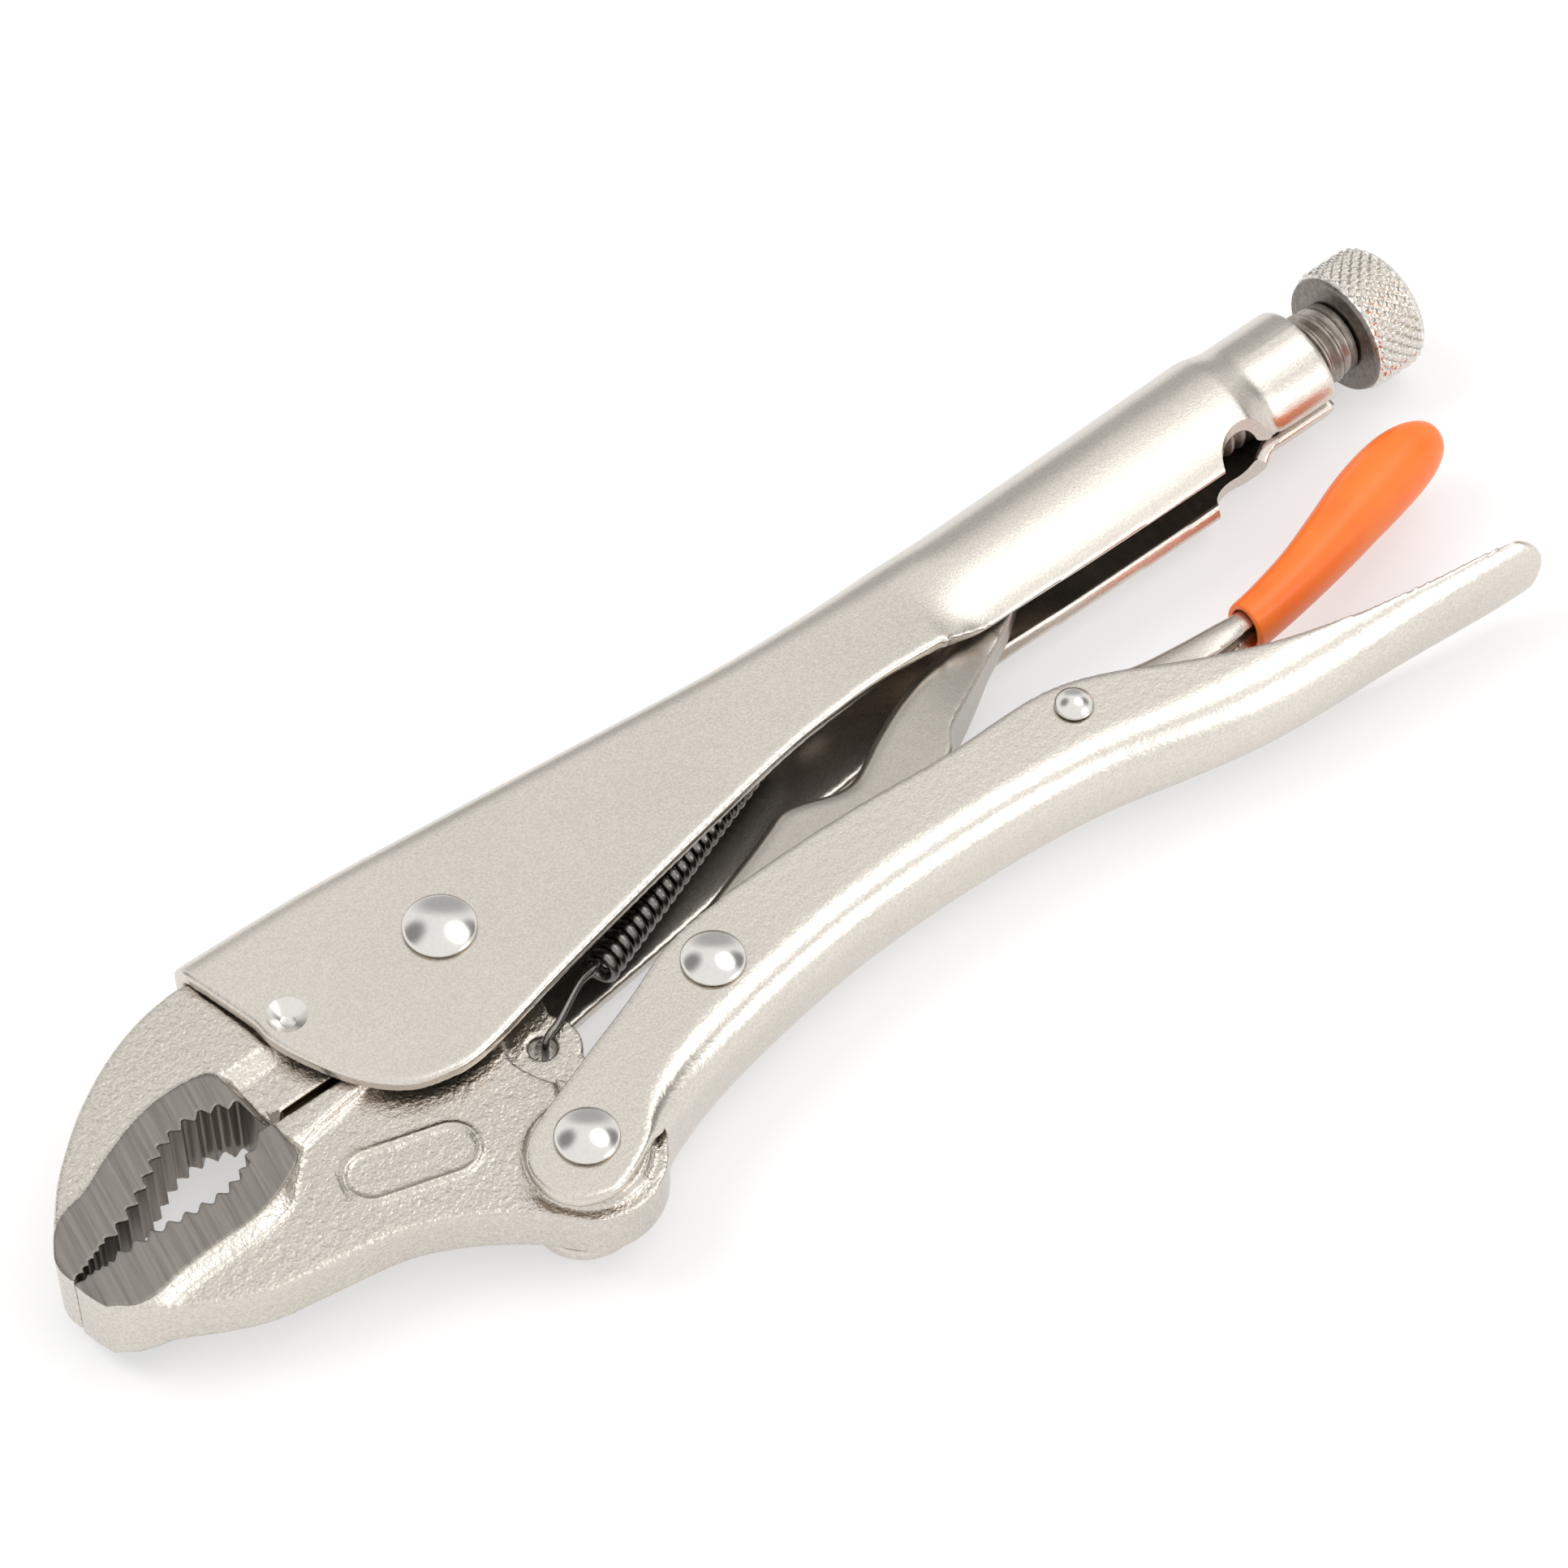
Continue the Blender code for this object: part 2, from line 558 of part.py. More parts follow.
def make_lower_jaw(frame, parts, cutters):
    jaw = prism("lower_jaw", lower_jaw_outline(), -BLOCK_HALF, BLOCK_HALF, parts)
    behind = block_edge_lower(0.0) + [(-82.2, 30.0), (-30.0, 30.0), (-30.0, -50.0),
                                      (TIP_X - 3.0, -50.0)]
    shave(jaw, behind, CORE_HALF, frame, cutters)
    pad_edge = [(-81.6, -6.3), (-71.0, -4.6), (-58.0, -2.5), (-58.0, -12.0), (-57.0, -16.0)]
    tail_front = arc(LEVER_PIVOT, 8.6, 75, 230, 12)
    web = block_edge_lower(BLOCK_DRAFT)[:-3] + pad_edge + tail_front
    web += [(-66.0, -50.0), (TIP_X - 3.0, -50.0)]
    shave(jaw, web, WEB_HALF, frame, cutters)
    ear_edge = [(-55.6, -9.5), (-54.9, -14.0), (-53.4, -19.2), (-52.0, -19.9), (-47.0, -19.9),
                (-40.0, -18.0), (-40.0, -5.0), (-55.0, -6.6)]
    shave(jaw, ear_edge, EAR_HALF, frame, cutters)
    drill(jaw, EAR_CENTRE, EAR_HOLE, frame, cutters)
    drill(jaw, JAW_PIVOT, JAW_RIVET[0] + FIT, frame, cutters)
    drill(jaw, LEVER_PIVOT, LEVER_RIVET[0] + FIT, frame, cutters)
    return place(jaw, JAW_PIVOT, frame, forged_material("forged_nickel_lower_jaw"))


# ---------------------------------------------------------------- toggle link

def link_rings():
    """Stations of the toggle link's bent channel, narrowing to the bar that meets the screw."""
    crowns = [(-34.0, -13.6), (-27.0, -11.8), (-20.0, -9.6), (-12.0, -7.1), (-8.0, -5.7),
              (-5.0, -4.7), (-2.0, -5.3), (2.0, -6.8), (5.0, -7.0), (8.0, -5.7), (12.0, -3.6),
              (17.0, -1.4)]
    stations = [(x, crown, CORE_HALF, LINK_CORNER) for x, crown in crowns]
    stations += [(22.0, 0.4, CORE_HALF - 0.3, LINK_CORNER), (27.0, 2.0, CORE_HALF - 1.1, LINK_CORNER),
                 (32.0, 3.8, LINK_NOSE_HALF, LINK_NOSE_HALF - FIT),
                 (35.0, 5.0, LINK_NOSE_HALF, LINK_NOSE_HALF - FIT)]
    return [channel_ring(x, crown, half, corner, OPEN_BELOW, half)
            for x, crown, half, corner in stations]


def link_nose_centre():
    return (SCREW_TIP_X - LINK_CLEARANCE - LINK_NOSE_RADIUS, SCREW_Y)


def link_outline():
    """Side outline of the whole link: trims the channel's lower edges and its front end."""
    front = arc(LINK_PIVOT, LINK_FRONT_RADIUS, 170, 290, 8)
    lower = smooth([(-22.0, -22.2), (-12.0, -19.9), (0.0, -17.0), (12.0, -13.9), (17.2, -12.4),
                    (19.5, -9.9), (21.1, -8.7), (26.5, -6.0), (32.0, -3.0), (38.0, 0.0),
                    (43.0, 3.6)])
    nose = arc(link_nose_centre(), LINK_NOSE_RADIUS, -70, 110, 8)
    return [(-34.5, 20.0)] + front + lower + nose + [(30.0, 20.0)]


def make_toggle_link(frame, parts, cutters):
    link = loft("toggle_link", link_rings(), parts, inside_out=True)
    solidify(link, SHEET)
    bar_outline = smooth([(24.5, -7.5), (30.0, -5.0), (38.0, -1.0), (43.0, 2.6)], 2)
    bar_outline += arc(link_nose_centre(), LINK_NOSE_RADIUS, -70, 110, 8)
    bar_outline += [(40.0, 9.2), (32.0, 3.2), (24.5, -0.4)]
    bar = prism("toggle_link_bar", bar_outline, -LINK_BAR_HALF, LINK_BAR_HALF, cutters)
    trim = prism("toggle_link_trim", link_outline(), -BEYOND, BEYOND, cutters)
    for tool, operation in ((bar, "UNION"), (trim, "INTERSECT")):
        tool.parent = frame
        combine(link, make_cutter(tool), operation)
    drill(link, LINK_PIVOT, LINK_RIVET[0] + FIT, frame, cutters)
    return place(link, LINK_PIVOT, frame, nickel_material("satin_nickel_link"))


# ---------------------------------------------------------------- release lever

def sleeve_stations():
    """Oval stations of the sleeve: x, centre y, half height, half width."""
    return [(61.6, -19.3, 3.25, 4.1), (66.0, -18.8, 3.4, 4.2), (73.0, -17.6, 3.75, 4.3),
            (80.0, -15.9, 4.35, 4.5), (86.0, -14.3, 4.85, 4.65), (91.0, -13.2, 5.05, 4.7),
            (95.5, -12.4, 4.85, 4.65), (99.0, -12.0, 4.2, 4.2), (101.5, -11.8, 3.15, 3.3),
            (103.0, -11.7, 1.7, 1.9)]


def release_lever_rings():
    """Stations of the release lever: wide at its pivot, then narrow inside the sleeve."""
    wide, narrow = CORE_HALF, LEVER_HALF
    stations = [(20.0, -17.2, wide, 2.0, -20.4, wide),
                (26.0, -15.2, wide, 2.2, -21.6, wide),
                (33.0, -14.3, wide, 2.4, -22.2, wide),
                (40.0, -14.6, wide - 0.5, 2.6, -22.0, wide - 0.5),
                (46.0, -15.7, wide - 1.2, 2.6, -21.6, wide - 1.2),
                (52.0, -16.4, narrow + 0.1, 2.4, -21.4, narrow),
                (58.0, -17.0, narrow - 0.1, 2.2, -21.2, narrow - 0.6)]
    for x, centre, tall, broad in sleeve_stations()[:TANG_STATIONS]:
        core_tall = tall - SLEEVE_WALL - FIT / 2
        core_broad = broad - SLEEVE_WALL - FIT / 2
        half = TANG_WIDTH * core_broad
        corner = min(TANG_CORNER * core_tall, half - FIT)
        stations.append((x, centre + TANG_CROWN * core_tall, half, corner,
                         centre - TANG_LIP * core_tall, TANG_LIP * core_broad))
    return [channel_ring(*station, corner_steps=4, wall_steps=3) for station in stations]


def make_release_lever(frame, parts, cutters):
    lever = loft("release_lever", release_lever_rings(), parts, inside_out=True)
    solidify(lever, LEVER_SHEET)
    drill(lever, RELEASE_PIVOT, RELEASE_RIVET[0] + FIT, frame, cutters, steps=16)
    return place(lever, RELEASE_PIVOT, frame, nickel_material("satin_nickel_lever"))


def make_sleeve(frame, parts):
    rings = []
    for x, centre, tall, broad in sleeve_stations():
        angles = [2 * math.pi * k / 18 for k in range(18)]
        rings.append([(x, centre + tall * math.cos(a), broad * math.sin(a)) for a in angles])
    sleeve = loft("release_lever_sleeve", rings, parts, closed_ring=True, capped=True)
    solidify(sleeve, SLEEVE_WALL)
    return place(sleeve, RELEASE_PIVOT, frame, vinyl_material("orange_vinyl"))


# ---------------------------------------------------------------- rivets, screw, knob, spring

def make_rivet(name, pivot, size, frame, parts):
    shank, head = size
    seat = CHANNEL_HALF + FIT
    dome = HEAD_RISE - HEAD_RIM
    sphere = (head ** 2 + dome ** 2) / (2 * dome)
    top = []
    for k in range(5):
        radius = head * k / 4
        top.append((radius, seat + HEAD_RISE - sphere + math.sqrt(sphere ** 2 - radius ** 2)))
    top += [(head, seat), (shank, seat)]
    profile = top + [(radius, -height) for radius, height in reversed(top)]
    rivet = turned(name, profile, 20, parts)
    return hang(rivet, pivot, frame, rivet_material("polished_" + name))


def make_adjusting_screw(frame, parts):
    tip = SCREW_TIP_X
    end = KNOB_FACE_X + STUB_LENGTH
    profile = [(0.0, end), (STUB_RADIUS, end), (STUB_RADIUS, KNOB_FACE_X - FIT),
               (SCREW_RADIUS - 0.8, KNOB_FACE_X - FIT), (SCREW_RADIUS - 0.8, KNOB_FACE_X - 1.6),
               (SCREW_RADIUS, KNOB_FACE_X - 2.4), (SCREW_RADIUS, tip + 4.5),
               (SCREW_RADIUS - 1.2, tip + 3.2), (SCREW_TIP_RADIUS + 0.6, tip + 2.6),
               (SCREW_TIP_RADIUS, tip + 0.7), (SCREW_TIP_RADIUS - 0.7, tip), (0.0, tip)]
    screw = turned("adjusting_screw", profile, 24, parts)
    return lay_along_x(screw, frame, screw_material("machined_steel_screw"))


def make_knob(frame, parts):
    back = KNOB_FACE_X + KNOB_LENGTH
    bore_end = KNOB_FACE_X + STUB_LENGTH + FIT
    profile = [(0.0, back), (KNOB_RADIUS - 2.2, back), (KNOB_RADIUS - 0.7, back - 0.35),
               (KNOB_RADIUS, back - 1.1), (KNOB_RADIUS, KNOB_FACE_X + KNOB_EDGE),
               (KNOB_RADIUS - KNOB_EDGE, KNOB_FACE_X), (STUB_RADIUS + FIT, KNOB_FACE_X),
               (STUB_RADIUS + FIT, bore_end), (0.0, bore_end)]
    knob = turned("knurled_knob", profile, 32, parts)
    return lay_along_x(knob, frame, knob_material("knurled_nickel_knob"))


def lay_along_x(part, frame, surface):
    """Turn a body from its local Z to lie along X on the screw's axis."""
    part.rotation_euler = (0.0, math.pi / 2, 0.0)
    return hang(part, (0.0, SCREW_Y), frame, surface)


def spring_points():
    """Front hook through the ear, coils, then the rear hook through the handle's tab."""
    start, end = Vector((*COIL_START, 0.0)), Vector((*COIL_END, 0.0))
    along = (end - start).normalized()
    across = Vector((-along[1], along[0], 0.0))
    up = Vector((0.0, 0.0, 1.0))
    turns = round((end - start).length / COIL_PITCH)
    ear_top = EAR_HALF + FIT + WIRE_RADIUS
    ear = Vector((*EAR_CENTRE, 0.0)) + 0.5 * along
    tab_top = HOOK_TAB_HALF + FIT + WIRE_RADIUS
    tab = Vector((*HOOK_TAB, 0.0))
    hook = [ear + up * (-EAR_HALF - 0.6), ear + up * (EAR_HALF - 0.9),
            ear + along * 0.35 + up * (EAR_HALF + 0.35), ear + along * 1.3 + up * ear_top,
            ear + along * 3.4 + up * ear_top,
            start - along * 4.4 + up * (ear_top - 0.1), start - along * 1.6 + up * 2.5]
    coils = []
    for k in range(turns * POINTS_PER_TURN + 1):
        angle = 2 * math.pi * k / POINTS_PER_TURN
        spot = start + (end - start) * (k / (turns * POINTS_PER_TURN))
        coils.append(spot + (up * math.cos(angle) + across * math.sin(angle)) * COIL_RADIUS)
    tail = [end + along * 1.5 + up * (COIL_RADIUS - 0.2), tab - along * 2.0 + up * tab_top,
            tab - along * 0.5 + up * (tab_top - 0.25), tab + up * (HOOK_TAB_HALF - 0.3),
            tab - up * (HOOK_TAB_HALF + 0.8)]
    return hook + coils + tail


def make_spring(frame, parts):
    curve = bpy.data.curves.new("jaw_spring", "CURVE")
    curve.dimensions = "3D"
    curve.bevel_depth = WIRE_RADIUS * MM
    curve.bevel_resolution = 1
    curve.use_fill_caps = True
    spline = curve.splines.new("POLY")
    points = spring_points()
    spline.points.add(len(points) - 1)
    for point, spot in zip(spline.points, points):
        point.co = (*(spot * MM), 1.0)
    shape = bpy.data.objects.new("jaw_spring", curve)
    parts.objects.link(shape)
    spring = curve_to_mesh(shape, parts)
    return place(spring, EAR_CENTRE, frame, spring_material("spring_steel"))


# ---------------------------------------------------------------- assembly

def make_frame(parts):
    frame = bpy.data.objects.new("pliers_frame", None)
    frame.location = (-(PLAN_MIN_X + PLAN_MAX_X) / 2 * MM, -(PLAN_MIN_Y + PLAN_MAX_Y) / 2 * MM,
                      REST_HALF * MM)
    parts.objects.link(frame)
    return frame


def main():
    clear_scene()
    parts = new_collection("locking_pliers")
    cutters = new_collection("cutters")
    frame = make_frame(parts)
    make_fixed_handle(frame, parts, cutters)
    make_lower_handle(frame, parts, cutters)
    make_upper_jaw(frame, parts, cutters)
    make_lower_jaw(frame, parts, cutters)
    make_toggle_link(frame, parts, cutters)
    make_release_lever(frame, parts, cutters)
    make_sleeve(frame, parts)
    make_rivet("jaw_pivot_rivet", JAW_PIVOT, JAW_RIVET, frame, parts)
    make_rivet("lever_rivet", LEVER_PIVOT, LEVER_RIVET, frame, parts)
    make_rivet("link_rivet", LINK_PIVOT, LINK_RIVET, frame, parts)
    make_rivet("release_lever_rivet", RELEASE_PIVOT, RELEASE_RIVET, frame, parts)
    make_adjusting_screw(frame, parts)
    make_knob(frame, parts)
    make_spring(frame, parts)


main()
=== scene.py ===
"""Looks of the locking pliers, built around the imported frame.

Shapes are drawn in millimetres in the tool's own plan (X along the tool, Y across the handles,
Z = 0 in the middle of the jaws) and moved into the frame once they are done."""

import json
import math

import bmesh
import bpy
import numpy as np
from mathutils import Matrix, Vector

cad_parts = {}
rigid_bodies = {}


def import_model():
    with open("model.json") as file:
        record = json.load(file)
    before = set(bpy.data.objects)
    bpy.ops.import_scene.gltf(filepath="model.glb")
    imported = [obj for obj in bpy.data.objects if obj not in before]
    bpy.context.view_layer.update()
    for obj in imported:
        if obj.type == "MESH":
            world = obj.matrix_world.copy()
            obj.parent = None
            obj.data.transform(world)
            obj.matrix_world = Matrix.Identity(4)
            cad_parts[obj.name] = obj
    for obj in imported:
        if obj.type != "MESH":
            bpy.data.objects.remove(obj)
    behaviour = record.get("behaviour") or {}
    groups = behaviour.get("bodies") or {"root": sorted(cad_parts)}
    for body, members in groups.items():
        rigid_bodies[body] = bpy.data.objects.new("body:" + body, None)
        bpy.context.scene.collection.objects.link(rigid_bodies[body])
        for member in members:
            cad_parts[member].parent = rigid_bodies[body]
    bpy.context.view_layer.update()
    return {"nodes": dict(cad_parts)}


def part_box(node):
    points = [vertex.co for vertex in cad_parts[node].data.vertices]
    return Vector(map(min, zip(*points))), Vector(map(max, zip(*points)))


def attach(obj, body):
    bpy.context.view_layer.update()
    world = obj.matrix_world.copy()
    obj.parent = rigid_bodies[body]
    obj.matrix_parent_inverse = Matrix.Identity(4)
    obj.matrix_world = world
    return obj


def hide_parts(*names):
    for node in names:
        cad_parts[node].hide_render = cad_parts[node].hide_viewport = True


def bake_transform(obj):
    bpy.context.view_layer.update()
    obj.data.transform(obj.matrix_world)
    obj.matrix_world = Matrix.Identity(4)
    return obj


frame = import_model()

MM = 0.001
FIXED, LOWER_JAW, LOWER_HANDLE = "fixed_handle_body", "lower_jaw_body", "lower_handle_body"
LINK, LEVER, SCREW, KNOB = "toggle_link_body", "release_lever_body", "screw_body", "knob_body"

# Main sizes, as in the frame
JAW_PIVOT, LEVER_PIVOT = (-49.8, 6.5), (-55.0, -28.9)
LINK_PIVOT, RELEASE_PIVOT = (-27.1, -18.8), (32.6, -18.2)
SHEET, CHANNEL_HALF, FIT = 2.0, 7.15, 0.3
CHANNEL_INNER = CHANNEL_HALF - SHEET
CORE_HALF = CHANNEL_INNER - FIT
TIP_X, BLOCK_HALF, WEB_HALF, UPPER_FACE_HALF = -113.5, 5.5, 3.6, 5.3
CUTTER_HALF, EAR_HALF, EAR_CENTRE = 3.9, 2.5, (-49.3, -12.9)
SCREW_Y, SCREW_RADIUS, SCREW_TIP_X = 9.6, 5.5, 53.0
KNOB_FACE_X, KNOB_RADIUS, KNOB_LENGTH = 104.7, 9.1, 9.4
TUBE_RADIUS, NECK_RADIUS, NECK_X, MOUTH_X = 7.9, 7.8, 86.0, 97.4
LIP_GAP = 4.75
STAKE, HOOK_TAB, BADGE = (-71.9, 8.3), (11.5, 9.3), (-72.0, -16.3)
WINDOW, WINDOW_RADIUS = (79.9, -2.9), 5.6
JAW_BORE, LEVER_BORE, RELEASE_BORE = 3.3, 2.9, 1.8      # radii of the rivets' holes
TOOTH_PITCH, FINE_PITCH, FINE_DEPTH = 2.35, 1.1, 0.5
THROUGH = 30.0          # reach of a cut that goes right through

rivet_low, rivet_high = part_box("jaw_pivot_rivet")
SHIFT = (rivet_low + rivet_high) / 2 - Vector((*JAW_PIVOT, 0.0)) * MM
TO_FRAME = Matrix.Translation(SHIFT) @ Matrix.Scale(MM, 4)
scratch = bpy.data.collections.new("scratch")
bpy.context.scene.collection.children.link(scratch)


# ---------------------------------------------------------------- outlines

def smooth(points, steps=6):
    """A smooth path through points of any number of values (Catmull-Rom)."""
    rows = np.array([points[0], *points, points[-1]], float)
    path = []
    for i in range(1, len(rows) - 2):
        before, start, end, after = rows[i - 1:i + 3]
        for k in range(steps):
            t = k / steps
            path.append(0.5 * (2 * start + (end - before) * t
                               + (2 * before - 5 * start + 4 * end - after) * t * t
                               + (3 * start - before - 3 * end + after) * t ** 3))
    path.append(rows[-2])
    return [tuple(float(v) for v in p) for p in path]


def arc(centre, radius, start, end, steps=24):
    angles = [math.radians(start + (end - start) * k / steps) for k in range(steps + 1)]
    return [(centre[0] + radius * math.cos(a), centre[1] + radius * math.sin(a)) for a in angles]


def circle(radius, height, steps):
    """A ring of points round the local Z axis."""
    return [(radius * math.cos(2 * math.pi * k / steps), radius * math.sin(2 * math.pi * k / steps),
             height) for k in range(steps)]


def toothed(points, pitch, depth, per_tooth=8):
    """A wavy row of teeth along a smooth path, pointing to the path's left."""
    path = np.array(smooth(points, 12))
    runs = np.hypot(*np.diff(path, axis=0).T)
    at = np.concatenate([[0], np.cumsum(runs)])
    count = max(1, round(at[-1] / pitch))
    where = np.linspace(0, at[-1], count * per_tooth + 1)
    x, y = np.interp(where, at, path[:, 0]), np.interp(where, at, path[:, 1])
    phase = (np.arange(len(where)) / per_tooth) % 1.0
    rise = 1.0 - np.abs(phase * 2 - 1.0)
    rise = depth * (0.75 * rise + 0.25 * (0.5 - 0.5 * np.cos(2 * math.pi * phase)))
    tangent = np.stack([np.gradient(x), np.gradient(y)], 1)
    tangent /= np.linalg.norm(tangent, axis=1)[:, None]
    return [(float(a - t[1] * h), float(b + t[0] * h)) for a, b, t, h in zip(x, y, tangent, rise)]


# ---------------------------------------------------------------- solids

def mesh_object(name, vertices, faces):
    mesh = bpy.data.meshes.new(name)
    mesh.from_pydata([tuple(v) for v in vertices], [], faces)
    result = bpy.data.objects.new(name, mesh)
    scratch.objects.link(result)
    return result


def closed(target):
    """Make every face look outward and weld what lies together."""
    work = bmesh.new()
    work.from_mesh(target.data)
    bmesh.ops.remove_doubles(work, verts=work.verts, dist=0.002)
    bmesh.ops.recalc_face_normals(work, faces=work.faces)
    work.to_mesh(target.data)
    work.free()
    return target


def slab(name, low_outline, low, high_outline, high):
    """A plate whose lower and upper outlines may differ, which gives it sloping sides."""
    n = len(low_outline)
    vertices = [(x, y, low) for x, y in low_outline] + [(x, y, high) for x, y in high_outline]
    faces = [tuple(range(n - 1, -1, -1)), tuple(range(n, 2 * n))]
    faces += [(i, (i + 1) % n, n + (i + 1) % n, n + i) for i in range(n)]
    return closed(mesh_object(name, vertices, faces))


def prism(name, outline, low, high):
    return slab(name, outline, low, outline, high)


def loft(name, rings, closed_ring=False, cap_start=False, cap_end=False):
    n = len(rings[0])
    vertices = [p for ring in rings for p in ring]
    spans = n if closed_ring else n - 1
    faces = [(r * n + i, r * n + (i + 1) % n, (r + 1) * n + (i + 1) % n, (r + 1) * n + i)
             for r in range(len(rings) - 1) for i in range(spans)]
    if cap_start:
        faces.append(tuple(range(n)))
    if cap_end:
        faces.append(tuple(range((len(rings) - 1) * n, len(rings) * n)))
    return mesh_object(name, vertices, faces)


def turned(name, profile, steps=64):
    """A body turned about its local Z from (radius, height) points that start and end at 0."""
    inner = profile[1:-1]
    body = loft(name, [circle(r, h, steps) for r, h in inner], closed_ring=True)
    work = bmesh.new()
    work.from_mesh(body.data)
    work.verts.ensure_lookup_table()
    for (_, height), first in ((profile[0], 0), (profile[-1], (len(inner) - 1) * steps)):
        tip = work.verts.new((0.0, 0.0, height))
        work.verts.ensure_lookup_table()
        for k in range(steps):
            work.faces.new((work.verts[first + k], work.verts[first + (k + 1) % steps], tip))
    work.to_mesh(body.data)
    work.free()
    return closed(body)


def flip(target):
    target.data.flip_normals()
    return target


def solidify(target, thickness):
    shell = target.modifiers.new("wall", "SOLIDIFY")
    shell.thickness = thickness
    shell.offset = -1.0
    shell.use_even_offset = True


def combine(target, other, operation):
    step = target.modifiers.new(other.name, "BOOLEAN")
    step.operation = operation
    step.object = other
    step.solver = "EXACT"
    step.use_self = False


def bore(target, centre, radius):
    """Cut a round hole right through."""
    hole = prism("bore", arc(centre, radius, 0, 352.5, 47), -THROUGH, THROUGH)
    combine(target, hole, "DIFFERENCE")


def settle(target):
    """Apply the modifiers of a body."""
    bpy.context.view_layer.update()
    evaluated = target.evaluated_get(bpy.context.evaluated_depsgraph_get())
    mesh = bpy.data.meshes.new_from_object(evaluated)
    target.modifiers.clear()
    old, target.data = target.data, mesh
    bpy.data.meshes.remove(old)
    return target


def remesh(target, voxel):
    """One even skin with slightly rounded edges."""
    settle(target)
    step = target.modifiers.new("remesh", "REMESH")
    step.mode = "VOXEL"
    step.voxel_size = voxel
    settle(target)
    return target


def coordinates(target):
    co = np.empty(len(target.data.vertices) * 3)
    target.data.vertices.foreach_get("co", co)
    return co.reshape(-1, 3)


def soften(target, rounds, weight=None, factor=0.5):
    """Relax the skin, which rounds its edges; weight(co) gives each point's share."""
    co = coordinates(target)
    edges = np.empty(len(target.data.edges) * 2, np.int64)
    target.data.edges.foreach_get("vertices", edges)
    a, b = edges.reshape(-1, 2).T
    count = np.bincount(a, minlength=len(co)) + np.bincount(b, minlength=len(co))
    share = factor * (np.ones(len(co)) if weight is None else weight(co))[:, None]
    for _ in range(rounds):
        total = np.empty_like(co)
        for axis in range(3):
            total[:, axis] = (np.bincount(a, co[b, axis], len(co))
                              + np.bincount(b, co[a, axis], len(co)))
        co += share * (total / np.maximum(count, 1)[:, None] - co)
    target.data.vertices.foreach_set("co", co.ravel())
    target.data.update()
    return target


def thin_out(target, ratio):
    step = target.modifiers.new("thin", "DECIMATE")
    step.ratio = ratio
    return settle(target)


def piece(target, name, body, node, materials, sharp=None, bend=None):
    """Move a finished shape into the frame as a piece that stands for a CAD node.

    bend is another body and two plan points, which are not used: when it is given, the piece is
    baked in place and joined to no body."""
    target.data.transform(TO_FRAME)
    target.name = name
    target.data.name = name
    index = np.zeros(len(target.data.polygons), np.int32)
    target.data.polygons.foreach_get("material_index", index)
    target.data.materials.clear()
    for surface in materials:
        target.data.materials.append(surface)
    target.data.polygons.foreach_set("material_index", np.minimum(index, len(materials) - 1))
    target.data.shade_smooth()
    if sharp:
        target.data.set_sharp_from_angle(angle=math.radians(sharp))
    for collection in list(target.users_collection):
        collection.objects.unlink(target)
    bpy.context.scene.collection.objects.link(target)
    if bend:
        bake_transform(target)
    else:
        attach(target, body)
    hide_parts(node)
    return target


def in_outline(points, outline):
    """Which of the points lie inside an outline."""
    x, y = points[:, 0], points[:, 1]
    inside = np.zeros(len(points), bool)
    for (x0, y0), (x1, y1) in zip(outline, outline[1:] + outline[:1]):
        if y0 == y1:
            continue
        crosses = (y0 > y) != (y1 > y)
        inside ^= crosses & (x < (x1 - x0) * (y - y0) / (y1 - y0) + x0)
    return inside


def face_data(target):
    n = len(target.data.polygons)
    centres, normals = np.empty(n * 3), np.empty(n * 3)
    target.data.polygons.foreach_get("center", centres)
    target.data.polygons.foreach_get("normal", normals)
    return centres.reshape(-1, 3), normals.reshape(-1, 3)


# ---------------------------------------------------------------- materials

def maths(tree, first, second, operation="ADD"):
    """A math node; each value is a number or another node's output."""
    node = tree.nodes.new("ShaderNodeMath")
    node.operation = operation
    for value, socket in ((first, node.inputs[0]), (second, node.inputs[1])):
        if isinstance(value, (int, float)):
            socket.default_value = value
        else:
            tree.links.new(value, socket)
    return node.outputs[0]


